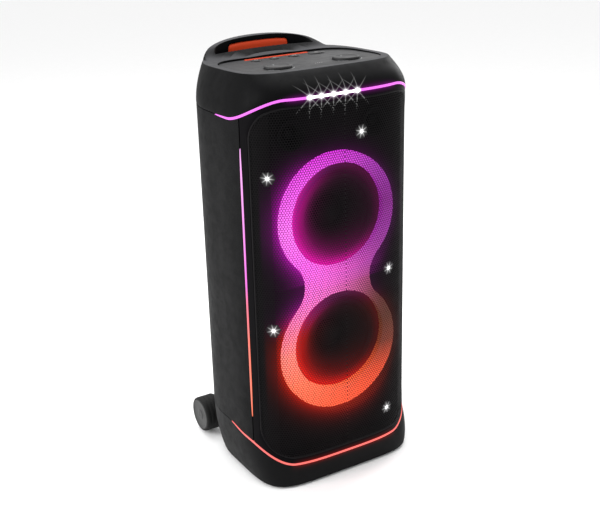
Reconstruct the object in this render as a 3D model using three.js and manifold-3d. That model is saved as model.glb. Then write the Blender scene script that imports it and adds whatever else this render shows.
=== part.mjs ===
import * as THREE from "three";
import { mergeVertices } from "three/addons/utils/BufferGeometryUtils.js";
import Module from "manifold-3d";

// Battery party speaker: a tall cabinet on feet and two rear wheels. Millimetres, +Z up.
// X runs to the right seen from the front, -Y is the front, the floor is Z = 0.

const wasm = await Module();
wasm.setup();

// ---- driving dimensions ----
const WIDTH = 416;
const HEIGHT = 938;
const HALF_DEPTH = 192; // front face to the rearmost point of the wheels is twice this
const REAR = 178; // rear wall at the middle
const GAP = 0.3; // running clearance between neighbouring pieces
const WALL = 9;

const SEAM_TOP_FRONT = 868; // light strip under the top housing
const SEAM_TOP_DROP = 44; // how far it dips towards the sides
const SEAM_BASE_FRONT = 55; // light strip above the base
const SEAM_BASE_RISE = 50;
const SEAM_BASE_TAIL = 13;
const STRIP_H = 6;
const STRIP_PROUD = 0.4;
const STRIP_T = STRIP_PROUD + 4;
const STRIP_END_Y = -32; // the horizontal strips taper out here on each side
const SIDE_STRIP_Y = -115; // upright strips
const SIDE_STRIP_LOW = 166;
const SIDE_STRIP_HIGH = 768;
const MESH_EDGE_Y = -133; // side edges of the grille
const MESH_MARGIN = 14; // grille edge to the light strips

const RIM_Z = 913.4; // rim height at the front
const RIM_SLOPE = 0.034; // the rim falls this much per millimetre towards the rear
const RIM_A = 181;
const RIM_FRONT = 144;
const RIM_REAR = 180;
const RIM_POWER = 4.4;
const RIM_REAR_POWER = 2.75;

const RING_UP_Z = 604;
const RING_LOW_Z = 320;
const RING_IN = 113;
const RING_DISCS = [
  [602, 139],
  [301, 143],
]; // height and radius of the two rounds of the figure of eight
const RING_HOLES = [604, 318];
const RING_Y = -165;
const BAFFLE_Y = -150;

const WHEEL_R = 42;
const WHEEL_Y = HALF_DEPTH + STRIP_PROUD - WHEEL_R;
const WHEEL_Z = 47;
const WHEEL_OUT = 204;
const WHEEL_IN = 160;
const AXLE_R = 5;

const DIAL_X = 82;
const DIAL_Y = -74;
const DIAL_R = 28;

const PANEL_SLOPE = 0.048; // the control panel falls this much per millimetre towards the rear
const PANEL_FRONT_Y = -128;
const PANEL_REAR_Y = 84;
const PANEL_FRONT_Z = 911.5;

const BACK_Y = 152; // outer face of the flat rear panel
const IO_Z = [560, 745];
const BATTERY_Z = [190, 420];
const PORT_Z = 492;

// ---- small helpers ----
const V = (x, y, z) => new THREE.Vector3(x, y, z);
const clamp = (x, a, b) => Math.min(b, Math.max(a, x));
const lerp = (a, b, k) => a + (b - a) * k;

function ease(a, b, x) {
  const k = clamp((x - a) / (b - a), 0, 1);
  return k * k * (3 - 2 * k);
}

function signedVolume(positions, index) {
  let v = 0;
  const a = new THREE.Vector3();
  const b = new THREE.Vector3();
  const c = new THREE.Vector3();
  for (let i = 0; i < index.length; i += 3) {
    a.fromArray(positions, 3 * index[i]);
    b.fromArray(positions, 3 * index[i + 1]);
    c.fromArray(positions, 3 * index[i + 2]);
    v += a.dot(b.cross(c)) / 6;
  }
  return v;
}

// A three.js geometry as a closed solid facing out.
function solid(geometry) {
  const plain = geometry.clone();
  plain.deleteAttribute("normal");
  plain.deleteAttribute("uv");
  const merged = mergeVertices(plain, 1e-3);
  const vertProperties = new Float32Array(merged.attributes.position.array);
  const triVerts = new Uint32Array(merged.index.array);
  if (signedVolume(vertProperties, triVerts) < 0) {
    for (let i = 0; i < triVerts.length; i += 3) {
      [triVerts[i + 1], triVerts[i + 2]] = [triVerts[i + 2], triVerts[i + 1]];
    }
  }
  return new wasm.Manifold(
    new wasm.Mesh({ numProp: 3, vertProperties, triVerts }),
  );
}

function geometryOf(made) {
  const mesh = made.getMesh();
  const positions = new Float32Array(mesh.numVert * 3);
  for (let i = 0; i < mesh.numVert; i++) {
    for (let k = 0; k < 3; k++) {
      positions[3 * i + k] = mesh.vertProperties[mesh.numProp * i + k];
    }
  }
  const g = new THREE.BufferGeometry();
  g.setAttribute("position", new THREE.BufferAttribute(positions, 3));
  g.setIndex(new THREE.BufferAttribute(new Uint32Array(mesh.triVerts), 1));
  return g;
}

// A closed solid from two facing grids of points, outer[i][j] and inner[i][j].
// With wrap the first index goes all the way round.
function plate(outer, inner, wrap = false) {
  const ni = outer.length;
  const nj = outer[0].length;
  const positions = [];
  for (const grid of [outer, inner]) {
    for (const row of grid) {
      for (const p of row) positions.push(p.x, p.y, p.z);
    }
  }
  const at = (side, i, j) => (side * ni + (i % ni)) * nj + j;
  const index = [];
  const quad = (a, b, c, d) => index.push(a, b, c, a, c, d);
  const last = wrap ? ni : ni - 1;
  for (let i = 0; i < last; i++) {
    for (let j = 0; j < nj - 1; j++) {
      quad(at(0, i, j), at(0, i + 1, j), at(0, i + 1, j + 1), at(0, i, j + 1));
      quad(at(1, i, j), at(1, i, j + 1), at(1, i + 1, j + 1), at(1, i + 1, j));
    }
    quad(at(1, i, 0), at(1, i + 1, 0), at(0, i + 1, 0), at(0, i, 0));
    quad(
      at(0, i, nj - 1),
      at(0, i + 1, nj - 1),
      at(1, i + 1, nj - 1),
      at(1, i, nj - 1),
    );
  }
  if (!wrap) {
    for (let j = 0; j < nj - 1; j++) {
      quad(at(0, 0, j), at(0, 0, j + 1), at(1, 0, j + 1), at(1, 0, j));
      const e = ni - 1;
      quad(at(1, e, j), at(1, e, j + 1), at(0, e, j + 1), at(0, e, j));
    }
  }
  const g = new THREE.BufferGeometry();
  g.setAttribute(
    "position",
    new THREE.BufferAttribute(new Float32Array(positions), 3),
  );
  g.setIndex(index);
  return solid(g);
}

// A closed solid from a stack of rings, each an array of points, closed by a fan at both ends.
function loft(rings) {
  const n = rings[0].length;
  const positions = [];
  for (const ring of rings) {
    for (const p of ring) positions.push(p.x, p.y, p.z);
  }
  const index = [];
  for (let k = 0; k < rings.length - 1; k++) {
    for (let i = 0; i < n; i++) {
      const a = k * n + i;
      const b = k * n + ((i + 1) % n);
      index.push(a, b, b + n, a, b + n, a + n);
    }
  }
  for (const [k, flip] of [
    [0, true],
    [rings.length - 1, false],
  ]) {
    const c = new THREE.Vector3();
    for (const p of rings[k]) c.addScaledVector(p, 1 / n);
    const centre = positions.length / 3;
    positions.push(c.x, c.y, c.z);
    for (let i = 0; i < n; i++) {
      const a = k * n + i;
      const b = k * n + ((i + 1) % n);
      if (flip) index.push(b, a, centre);
      else index.push(a, b, centre);
    }
  }
  const g = new THREE.BufferGeometry();
  g.setAttribute(
    "position",
    new THREE.BufferAttribute(new Float32Array(positions), 3),
  );
  g.setIndex(index);
  return solid(g);
}

function box(x0, x1, y0, y1, z0, z1) {
  const g = new THREE.BoxGeometry(x1 - x0, y1 - y0, z1 - z0);
  g.translate((x0 + x1) / 2, (y0 + y1) / 2, (z0 + z1) / 2);
  return solid(g);
}

// A box with rounded corners seen along one axis ("x", "y" or "z").
function roundBox(x0, x1, y0, y1, z0, z1, r, axis = "z", segments = 3) {
  const spans = { x: [x0, x1], y: [y0, y1], z: [z0, z1] };
  const flat = { x: ["y", "z"], y: ["z", "x"], z: ["x", "y"] }[axis];
  const [a0, a1] = spans[flat[0]];
  const [b0, b1] = spans[flat[1]];
  const shape = new THREE.Shape();
  shape.moveTo(a0 + r, b0);
  shape.lineTo(a1 - r, b0);
  shape.absarc(a1 - r, b0 + r, r, -Math.PI / 2, 0);
  shape.lineTo(a1, b1 - r);
  shape.absarc(a1 - r, b1 - r, r, 0, Math.PI / 2);
  shape.lineTo(a0 + r, b1);
  shape.absarc(a0 + r, b1 - r, r, Math.PI / 2, Math.PI);
  shape.lineTo(a0, b0 + r);
  shape.absarc(a0 + r, b0 + r, r, Math.PI, 1.5 * Math.PI);
  const [h0, h1] = spans[axis];
  const g = new THREE.ExtrudeGeometry(shape, {
    depth: h1 - h0,
    bevelEnabled: false,
    curveSegments: segments,
  });
  g.translate(0, 0, h0);
  const m = new THREE.Matrix4();
  if (axis === "x") m.makeBasis(V(0, 1, 0), V(0, 0, 1), V(1, 0, 0));
  if (axis === "y") m.makeBasis(V(0, 0, 1), V(1, 0, 0), V(0, 1, 0));
  g.applyMatrix4(m);
  return solid(g);
}

// A turned solid: profile points [radius, along], about an axis through the point given.
function turned(profile, axis, x, y, z, segments = 24) {
  const g = new THREE.LatheGeometry(
    profile.map(([r, h]) => new THREE.Vector2(r, h)),
    segments,
  );
  if (axis === "z") g.rotateX(Math.PI / 2);
  if (axis === "x") g.rotateZ(-Math.PI / 2);
  g.translate(x, y, z);
  return solid(g);
}

function drum(radius, from, to, axis, x, y, z, segments = 24) {
  const profile = [
    [0, from],
    [radius, from],
    [radius, to],
    [0, to],
  ];
  return turned(profile, axis, x, y, z, segments);
}

// ---- plan outline: a superellipse, fuller at the front than at the rear ----
const BODY = { a: WIDTH / 2, f: HALF_DEPTH, r: REAR, nf: 3.6, nr: 2.45 };

// Angle 0 is the middle of the front, growing to the right, pi is the middle of the rear.
function planPoint(angle, plan = BODY) {
  const s = Math.sin(angle);
  const c = Math.cos(angle);
  const front = c >= 0;
  const n = front ? plan.nf : plan.nr;
  const x = plan.a * Math.sign(s) * Math.abs(s) ** (2 / n);
  const y = (front ? -plan.f : plan.r) * Math.abs(c) ** (2 / n);
  return [x, y];
}

function inset(d) {
  return { ...BODY, a: BODY.a - d, f: BODY.f - d, r: BODY.r - d };
}

// Distance along the body outline from the middle of the front, against angle.
const ARC = [[0, 0]];
for (let k = 1, last = planPoint(0), run = 0; k <= 1440; k++) {
  const angle = (Math.PI * k) / 1440;
  const p = planPoint(angle);
  run += Math.hypot(p[0] - last[0], p[1] - last[1]);
  ARC.push([run, angle]);
  last = p;
}
const HALF_ARC = ARC[ARC.length - 1][0];

function angleAt(s) {
  const d = Math.min(Math.abs(s), HALF_ARC);
  let lo = 0;
  let hi = ARC.length - 1;
  while (hi - lo > 1) {
    const mid = (lo + hi) >> 1;
    if (ARC[mid][0] <= d) lo = mid;
    else hi = mid;
  }
  const k = (d - ARC[lo][0]) / (ARC[hi][0] - ARC[lo][0]);
  return Math.sign(s) * lerp(ARC[lo][1], ARC[hi][1], k);
}

// Distance round to the point of the right-hand side at depth y.
function arcAtY(y) {
  return ARC.find(([, angle]) => planPoint(angle)[1] >= y)[0];
}

const ARC_STRIP = arcAtY(SIDE_STRIP_Y);
const ARC_MESH = arcAtY(MESH_EDGE_Y);
const ARC_TIP = arcAtY(STRIP_END_Y);
const ARC_CORNER = arcAtY(-180);

function topSeam(s) {
  const d = Math.abs(s) - ARC_CORNER;
  return SEAM_TOP_FRONT - SEAM_TOP_DROP * ease(-5, 135, d);
}

function baseSeam(s) {
  const d = Math.abs(s) - ARC_CORNER;
  return (
    SEAM_BASE_FRONT +
    SEAM_BASE_RISE * ease(-7, 118, d) +
    SEAM_BASE_TAIL * ease(98, 188, d)
  );
}

// Half height of the horizontal strips, tapering to their tips.
function stripHalf(s) {
  const k = clamp((ARC_TIP - Math.abs(s)) / 60, 0, 1);
  return lerp(0.7, STRIP_H / 2, Math.sqrt(k));
}

// Stations round the outline that every skin shares, closest together at the front corners.
const STATIONS = [];
{
  const half = [55, 105];
  for (let s = ARC_CORNER - 8; s < ARC_CORNER + 150; s += 14.5) half.push(s);
  const from = half[half.length - 1];
  for (let k = 1; k <= 8; k++) half.push(lerp(from, HALF_ARC, k / 8.5));
  STATIONS.push(...half.map((s) => -s).reverse(), 0, ...half, HALF_ARC);
}

// One ring of the outline at height z(s), moved in by d.
function outlineRing(d, z) {
  return STATIONS.map((s) => {
    const [x, y] = planPoint(angleAt(s), inset(d));
    return V(x, y, z(s));
  });
}

// A curved plate that follows the body outline from distance s0 to s1.
function wallPatch(s0, s1, low, high, out, thick) {
  const outer = [];
  const inner = [];
  const inside = [...STATIONS, ...STATIONS.map((s) => s + 2 * HALF_ARC)].filter(
    (s) => s > s0 + 2 && s < s1 - 2,
  );
  for (const s of [s0, ...inside, s1]) {
    const turn = s > HALF_ARC ? s - 2 * HALF_ARC : s;
    const [xo, yo] = planPoint(angleAt(turn), inset(-out));
    const [xi, yi] = planPoint(angleAt(turn), inset(thick - out));
    outer.push([V(xo, yo, low(turn)), V(xo, yo, high(turn))]);
    inner.push([V(xi, yi, low(turn)), V(xi, yi, high(turn))]);
  }
  return plate(outer, inner);
}

// ---- the assembly ----
const speaker = new THREE.Group();
speaker.name = "party_speaker";

const FINISH = {
  shell: [0x2e2e2f, 0.62, 0.0],
  deck: [0x5e5e5f, 0.55, 0.0],
  bezel: [0x1b191b, 0.35, 0.0],
  mesh: [0x1c171d, 0.5, 0.6],
  baffle: [0x141214, 0.8, 0.0],
  glow: [0xd83cf0, 0.4, 0.0],
  glowLow: [0xff4a28, 0.4, 0.0],
  lamp: [0xffffff, 0.2, 0.0],
  orange: [0xcf4118, 0.55, 0.0],
  cone: [0x1a1a1b, 0.7, 0.0],
  rubber: [0x141414, 0.9, 0.0],
  steel: [0x9a9ca0, 0.35, 0.9],
  knob: [0x242425, 0.4, 0.0],
  hub: [0x4b4b4c, 0.5, 0.0],
};

function add(name, made, finish) {
  const [color, roughness, metalness] = FINISH[finish];
  const material = new THREE.MeshStandardMaterial({
    color,
    roughness,
    metalness,
    name: finish,
  });
  const mesh = new THREE.Mesh(geometryOf(made), material);
  mesh.name = name;
  speaker.add(mesh);
}

// Patches the light strips sit in; grow opens the seat round the strip itself.
function topStrip(grow) {
  const end = ARC_TIP + grow;
  const low = (s) => topSeam(s) - stripHalf(s) - grow;
  const high = (s) => topSeam(s) + stripHalf(s) + grow;
  const out = STRIP_PROUD + 2 * grow;
  return wallPatch(-end, end, low, high, out, STRIP_T + 3 * grow);
}

function baseStrip(grow) {
  const end = ARC_TIP + grow;
  const low = (s) => baseSeam(s) - stripHalf(s) - grow;
  const high = (s) => baseSeam(s) + stripHalf(s) + grow;
  const out = STRIP_PROUD + 2 * grow;
  return wallPatch(-end, end, low, high, out, STRIP_T + 3 * grow);
}

function sideStrip(side, grow) {
  const mid = side * ARC_STRIP;
  const out = STRIP_PROUD + 2 * grow;
  const thick = STRIP_T + 3 * grow;
  const outer = [];
  const inner = [];
  const tips = 24;
  const levels = [
    [SIDE_STRIP_LOW - grow, 0.8],
    [SIDE_STRIP_LOW + tips, 2.2],
    [SIDE_STRIP_LOW + 3 * tips, 3],
    [SIDE_STRIP_HIGH - 3 * tips, 3],
    [SIDE_STRIP_HIGH - tips, 2.2],
    [SIDE_STRIP_HIGH + grow, 0.8],
  ];
  for (const k of [-1, 0, 1]) {
    const rowOut = [];
    const rowIn = [];
    for (const [z, half] of levels) {
      const angle = angleAt(mid + k * (half + grow));
      const [xo, yo] = planPoint(angle, inset(-out));
      const [xi, yi] = planPoint(angle, inset(thick - out));
      rowOut.push(V(xo, yo, z));
      rowIn.push(V(xi, yi, z));
    }
    outer.push(rowOut);
    inner.push(rowIn);
  }
  return plate(outer, inner);
}

const seats = topStrip(GAP)
  .add(baseStrip(GAP))
  .add(sideStrip(-1, GAP))
  .add(sideStrip(1, GAP));

// ---- cabinet: side and rear walls in one U ----
const rearHalf = 112;
const rearLow = 140;
const rearHigh = 800;
{
  let body = wallPatch(
    ARC_STRIP + GAP,
    2 * HALF_ARC - ARC_STRIP - GAP,
    (s) => baseSeam(s) + GAP,
    (s) => topSeam(s) - GAP,
    0,
    WALL,
  );
  body = body.subtract(
    roundBox(-rearHalf, rearHalf, 110, 200, rearLow, rearHigh, 18, "y"),
  );
  body = body.subtract(seats);
  add("cabinet", body, "shell");
}

// ---- front bezel round the grille ----
const meshLow = (s) => baseSeam(s) + MESH_MARGIN;
const meshHigh = (s) => topSeam(s) - MESH_MARGIN;
{
  const end = ARC_STRIP - GAP;
  let bezel = wallPatch(
    -end,
    end,
    (s) => baseSeam(s) + GAP,
    (s) => topSeam(s) - GAP,
    0,
    WALL,
  );
  bezel = bezel.subtract(
    wallPatch(-ARC_MESH, ARC_MESH, meshLow, meshHigh, 5, 30),
  );
  bezel = bezel.subtract(seats);
  add("front_bezel", bezel, "bezel");
}

{
  const grille = wallPatch(
    -ARC_MESH + 0.5,
    ARC_MESH - 0.5,
    (s) => meshLow(s) + 0.5,
    (s) => meshHigh(s) - 0.5,
    -0.6,
    2,
  );
  add("front_grille", grille, "mesh");
}

add("light_strip_top", topStrip(0), "glow");
add("light_strip_base", baseStrip(0), "glowLow");
add("light_strip_left", sideStrip(-1, 0), "glow");
add("light_strip_right", sideStrip(1, 0), "glow");

// ---- front baffle, light ring, strobe bar and point lights ----
const TWEETER_X = 102;
const TWEETER_Z = 789;
{
  let baffle = roundBox(-166, 166, BAFFLE_Y, BAFFLE_Y + 12, 84, 838, 20, "y");
  for (const z of [RING_UP_Z, RING_LOW_Z]) {
    baffle = baffle.subtract(
      drum(106, BAFFLE_Y - 5, BAFFLE_Y + 20, "y", 0, 0, z, 24),
    );
  }
  for (const x of [-TWEETER_X, TWEETER_X]) {
    baffle = baffle.subtract(
      drum(27, BAFFLE_Y - 5, BAFFLE_Y + 20, "y", x, 0, TWEETER_Z, 24),
    );
  }
  add("front_baffle", baffle, "baffle");
}

{
  const y0 = RING_Y;
  const y1 = BAFFLE_Y - GAP;
  let ring = box(-100, 100, y0, y1, 412, 494);
  for (const x of [-118, 118]) {
    ring = ring.subtract(drum(40, y0 - 5, y1 + 5, "y", x, 0, 453, 24));
  }
  for (const [z, r] of RING_DISCS) {
    ring = ring.add(drum(r, y0, y1, "y", 0, 0, z, 32));
  }
  for (const z of RING_HOLES) {
    ring = ring.subtract(drum(RING_IN, y0 - 5, y1 + 5, "y", 0, 0, z, 28));
  }
  add("light_ring", ring, "glow");
}

{
  // Board of the strobe lights, behind the middle of the top strip.
  const bar = roundBox(-96, 48, -178, -169, 854, 867, 3, "y", 2);
  add("strobe_bar", bar, "lamp");
}

const POINT_LIGHTS = [
  [-159, 711],
  [58, 770],
  [127, 457],
  [-159, 380],
  [123, 116],
];
POINT_LIGHTS.forEach(([x, z], i) => {
  const profile = [
    [0, -161.5],
    [3, -160.5],
    [4, -158],
    [4, -154],
    [6, -153],
    [6, BAFFLE_Y - GAP],
    [0, BAFFLE_Y - GAP],
  ];
  add("point_light_" + (i + 1), turned(profile, "y", x, 0, z, 10), "lamp");
});

// ---- drivers ----
function woofer(tag, z) {
  const y = BAFFLE_Y;
  const frame = [
    [94, y - 5],
    [109, y - 5],
    [109, y - GAP],
    [104, y - GAP],
    [68, y + 60],
    [68, y + 74],
    [20, y + 74],
    [20, y + 70],
    [64, y + 70],
    [64, y + 59],
    [100, y - 1],
    [94, y - 1],
    [94, y - 5],
  ];
  add(tag + "_frame", turned(frame, "y", 0, 0, z, 24), "steel");
  const magnet = [
    [14, y + 75],
    [60, y + 75],
    [60, y + 112],
    [14, y + 112],
    [14, y + 75],
  ];
  add(tag + "_magnet", turned(magnet, "y", 0, 0, z, 18), "cone");
  const surround = [
    [93.5, y - 4.5],
    [93.5, y - 2.5],
    [86, y - 6.5],
    [78.5, y - 2],
    [78.5, y - 4],
    [86, y - 9],
    [93.5, y - 4.5],
  ];
  add(tag + "_surround", turned(surround, "y", 0, 0, z, 24), "rubber");
  const cone = [
    [78, y - 4],
    [78, y - 2],
    [35, y + 35],
    [19, y + 36],
    [19, y + 60],
    [16, y + 60],
    [16, y + 32],
    [34, y + 31],
    [78, y - 4],
  ];
  add(tag + "_cone", turned(cone, "y", 0, 0, z, 24), "cone");
  const cap = [
    [0, y + 14],
    [18, y + 18],
    [32, y + 28.5],
    [30.5, y + 29.5],
    [17, y + 20.5],
    [0, y + 16.5],
  ];
  add(tag + "_cap", turned(cap, "y", 0, 0, z, 18), "cone");
}
woofer("woofer_upper", RING_UP_Z);
woofer("woofer_lower", RING_LOW_Z);

for (const [tag, x] of [
  ["tweeter_left", -TWEETER_X],
  ["tweeter_right", TWEETER_X],
]) {
  const y = BAFFLE_Y;
  const horn = [
    [33, y - 4],
    [33, y - GAP],
    [26.5, y - GAP],
    [26.5, y + 20],
    [15, y + 20],
    [15, y + 10],
    [22, y + 2],
    [29, y - 4],
    [33, y - 4],
  ];
  add(tag + "_horn", turned(horn, "y", x, 0, TWEETER_Z, 20), "bezel");
  const dome = [
    [0, y + 4],
    [8, y + 6],
    [12, y + 10.5],
    [13.6, y + 12],
    [13.6, y + 20.4],
    [24, y + 20.4],
    [24, y + 40],
    [0, y + 40],
  ];
  add(tag + "_dome", turned(dome, "y", x, 0, TWEETER_Z, 16), "steel");
}

// ---- top housing: a crown that leans in to the rim, with the handle arch at the rear ----
const ARCH_HALF = 152;
const ARCH_POWER = 0.49;
function topSurface(x, y) {
  const rim = RIM_Z - RIM_SLOPE * (y + RIM_FRONT);
  const arch = Math.max(0, 1 - (x / ARCH_HALF) ** 2) ** ARCH_POWER;
  return rim + (HEIGHT - rim) * arch * ease(96, 154, y);
}

function crownPlan(k) {
  const lean = k ** 1.7;
  return {
    a: lerp(BODY.a, RIM_A, lean),
    f: lerp(BODY.f, RIM_FRONT, lean),
    r: lerp(BODY.r, RIM_REAR, lean),
    nf: lerp(BODY.nf, RIM_POWER, k),
    nr: lerp(BODY.nr, RIM_REAR_POWER, k),
  };
}

function crown(shrink, drop, lift, levels, scales) {
  const rings = [outlineRing(shrink + 30, (s) => topSeam(s) + lift)];
  for (const k of levels) {
    const plan = crownPlan(k);
    rings.push(
      STATIONS.map((s) => {
        const edge = { ...plan, a: plan.a - shrink, f: plan.f - shrink, r: plan.r - shrink };
        const round = k === 1 ? 2.5 : 0;
        edge.a -= round;
        edge.f -= round;
        edge.r -= round;
        const [x, y] = planPoint(angleAt(s), edge);
        const rim = topSurface(x, y) - drop;
        const low = topSeam(s) + lift;
        const zk = k === 1 ? 1 : k * 0.985;
        return V(x, y, lerp(low, rim, zk));
      }),
    );
  }
  const edge = crownPlan(1);
  for (const scale of scales) {
    rings.push(
      STATIONS.map((s) => {
        const plan = {
          ...edge,
          a: (edge.a - shrink) * scale,
          f: (edge.f - shrink) * scale,
          r: (edge.r - shrink) * scale,
        };
        const [x, y] = planPoint(angleAt(s), plan);
        return V(x, y, topSurface(x, y) - drop);
      }),
    );
  }
  return loft(rings);
}

// Plan of the handle slot: a lens between the ridge and the bar.
const SLOT_HALF = 124;
const SLOT_FRONT_Y = 120;
const SLOT_DEPTH = 34;
function slotCutter(z0, z1, grow = 0) {
  const shape = new THREE.Shape();
  const n = 20;
  for (let i = 0; i <= n; i++) {
    const x = lerp(-SLOT_HALF - grow, SLOT_HALF + grow, i / n);
    const y = SLOT_FRONT_Y + 3 * (x / SLOT_HALF) ** 2 - grow;
    if (i === 0) shape.moveTo(x, y);
    else shape.lineTo(x, y);
  }
  for (let i = n - 1; i > 0; i--) {
    const x = lerp(-SLOT_HALF - grow, SLOT_HALF + grow, i / n);
    const k = Math.max(0, 1 - (x / (SLOT_HALF + grow)) ** 4);
    shape.lineTo(x, SLOT_FRONT_Y + 3 + SLOT_DEPTH * Math.sqrt(k) + grow);
  }
  const g = new THREE.ExtrudeGeometry(shape, {
    depth: z1 - z0,
    bevelEnabled: false,
  });
  g.translate(0, 0, z0);
  return solid(g);
}

// Outline of the sunken control panel seen from above.
function panelPlan(grow) {
  const points = [];
  const plan = { a: 166 + grow, f: -PANEL_FRONT_Y + grow, r: 1, nf: 4.6, nr: 2 };
  const n = 18;
  for (let i = 0; i <= n; i++) {
    const s = lerp(-1, 1, i / n);
    const angle = (s * Math.PI) / 2;
    const [x, y] = planPoint(angle, plan);
    points.push([x, Math.min(y, 0)]);
  }
  const side = plan.a;
  for (const [x, y] of [
    [side - 1, 24],
    [side - 7, 46],
    [side - 20, 66],
    [side - 38, 79],
    [side - 58, PANEL_REAR_Y - 1],
    [side - 78, PANEL_REAR_Y],
  ]) {
    points.push([x, y + grow]);
  }
  for (const [x, y] of [
    [side - 78, PANEL_REAR_Y],
    [side - 58, PANEL_REAR_Y - 1],
    [side - 38, 79],
    [side - 20, 66],
    [side - 7, 46],
    [side - 1, 24],
  ]) {
    points.push([-x, y + grow]);
  }
  return points;
}

const panelZ = (y) => PANEL_FRONT_Z - PANEL_SLOPE * (y - PANEL_FRONT_Y);

// A prism over the panel outline between two sloping planes.
function panelPrism(grow, below, above) {
  const plan = panelPlan(grow);
  const rings = [below, above].map((d) =>
    plan.map(([x, y]) => V(x, y, panelZ(y) + d)),
  );
  return loft(rings);
}

// Turned parts that sit square on the sloping panel.
const TILT = Math.atan(PANEL_SLOPE);
function onPanel(made, x, y) {
  const m = new THREE.Matrix4()
    .makeTranslation(x, y, panelZ(y))
    .multiply(new THREE.Matrix4().makeRotationX(-TILT));
  const g = geometryOf(made);
  g.applyMatrix4(m);
  return solid(g);
}

const BUTTONS = [
  ["button_power", -66, 47, 11, 11],
  ["button_pair", -21, 47, 11, 11],
  ["button_play", 28, 47, 13, 12],
  ["button_lights", 84, 47, 20, 12],
];

function buttonShape(rx, ry, h0, h1, grow) {
  const a = rx + grow;
  const b = ry + grow;
  const n = 14;
  const ring = (k, z) => {
    const points = [];
    for (let i = 0; i < n; i++) {
      const t = (2 * Math.PI * i) / n;
      points.push(V(a * k * Math.cos(t), b * k * Math.sin(t), z));
    }
    return points;
  };
  if (grow > 0) return loft([ring(1, h0), ring(1, h1)]);
  return loft([ring(1, h0), ring(1, h1 - 0.8), ring(0.93, h1)]);
}

const PANEL_T = 5;
const LINER_Y = 74;
{
  // Panel plate with seats for the dials and the buttons.
  let panel = panelPrism(-0.6, -PANEL_T, 0);
  for (const x of [-DIAL_X, DIAL_X]) {
    panel = panel.subtract(onPanel(drum(6, -20, 20, "z", 0, 0, 0, 12), x, DIAL_Y));
    panel = panel.subtract(
      onPanel(drum(DIAL_R + 2, -2.5, 20, "z", 0, 0, 0, 28), x, DIAL_Y),
    );
  }
  for (const [, x, y, rx, ry] of BUTTONS) {
    panel = panel.subtract(
      onPanel(buttonShape(rx, ry, -20, 20, 0.6), x, y),
    );
  }
  // Seat of the orange-lined device slot along the foot of the ridge.
  panel = panel.subtract(
    onPanel(roundBox(-78, 78, -5, 5, -3.4, 20, 4.5, "z"), 0, LINER_Y),
  );
  add("control_panel", panel, "deck");

  const liner = roundBox(-77.5, 77.5, -4.5, 4.5, -3.1, 0.6, 4, "z").subtract(
    roundBox(-74, 74, -1.5, 1.5, -1.2, 5, 1.4, "z"),
  );
  add("device_slot_liner", onPanel(liner, 0, LINER_Y), "orange");
}

for (const [tag, x] of [
  ["dial_left", -DIAL_X],
  ["dial_right", DIAL_X],
]) {
  const profile = [
    [0, -12],
    [5, -12],
    [5, -2],
    [DIAL_R, -2],
    [DIAL_R + 0.6, 1],
    [DIAL_R, 4.6],
    [DIAL_R - 1.6, 5.6],
    [DIAL_R - 4, 5.2],
    [0, 3.6],
  ];
  add(tag, onPanel(turned(profile, "z", 0, 0, 0, 24), x, DIAL_Y), "knob");
}

for (const [tag, x, y, rx, ry] of BUTTONS) {
  add(tag, onPanel(buttonShape(rx, ry, -6, 2.2, 0), x, y), "knob");
}

const BAR_LOW = 894; // underside of the handle bar
const GRIP_HALF = 76;
const GRIP_LOW = 898;
const GRIP_HIGH = 926;
const GRIP_REAR_Y = 171;

// Region of the rear arch that is the separate handle bar.
function handleRegion(grow) {
  const x = SLOT_HALF + 6 + grow;
  return box(-x, x, 140 - grow, 220, BAR_LOW - grow, HEIGHT + 20);
}

// Seat of the soft grip in the front of the bar.
function gripSeat(low, grow) {
  const x = GRIP_HALF + grow;
  return roundBox(-x, x, 120, GRIP_REAR_Y + grow, low, GRIP_HIGH + grow, 6, "y");
}

{
  const whole = crown(0, 0, GAP, [0, 0.3, 0.6, 0.85, 1], [0.95, 0.85, 0.4]);
  const inside = crown(6, 26, -30, [0, 0.5, 1], [0.85]);
  let housing = whole.subtract(inside);
  // The slot runs down into a pocket that opens through the rear wall under the bar.
  const px = SLOT_HALF + 12;
  const pocket = roundBox(-px, px, 96, 176, 848, BAR_LOW + 7, 12, "y");
  housing = housing.add(pocket.intersect(whole));
  housing = housing.subtract(slotCutter(856, HEIGHT + 30));
  housing = housing.subtract(
    roundBox(-SLOT_HALF + 4, SLOT_HALF - 4, 130, 220, 856, BAR_LOW + 1, 10, "y"),
  );
  housing = housing.subtract(handleRegion(0));
  housing = housing.subtract(panelPrism(0, -PANEL_T - GAP, 40));
  // Clearance below the panel for the dial shafts and the buttons.
  for (const x of [-DIAL_X, DIAL_X]) {
    housing = housing.subtract(onPanel(drum(8, -40, 5, "z", 0, 0, 0, 12), x, DIAL_Y));
  }
  for (const [, x, y, rx, ry] of BUTTONS) {
    housing = housing.subtract(onPanel(buttonShape(rx, ry, -40, 5, 2), x, y));
  }
  housing = housing.subtract(seats);
  add("top_housing", housing, "shell");

  let bar = whole.intersect(handleRegion(-GAP));
  bar = bar.subtract(slotCutter(820, HEIGHT + 30, 0.2));
  add("handle_grip", bar.intersect(gripSeat(GRIP_LOW, 0)), "orange");
  bar = bar.subtract(gripSeat(800, GAP));
  add("carry_handle", bar, "shell");
}

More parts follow.
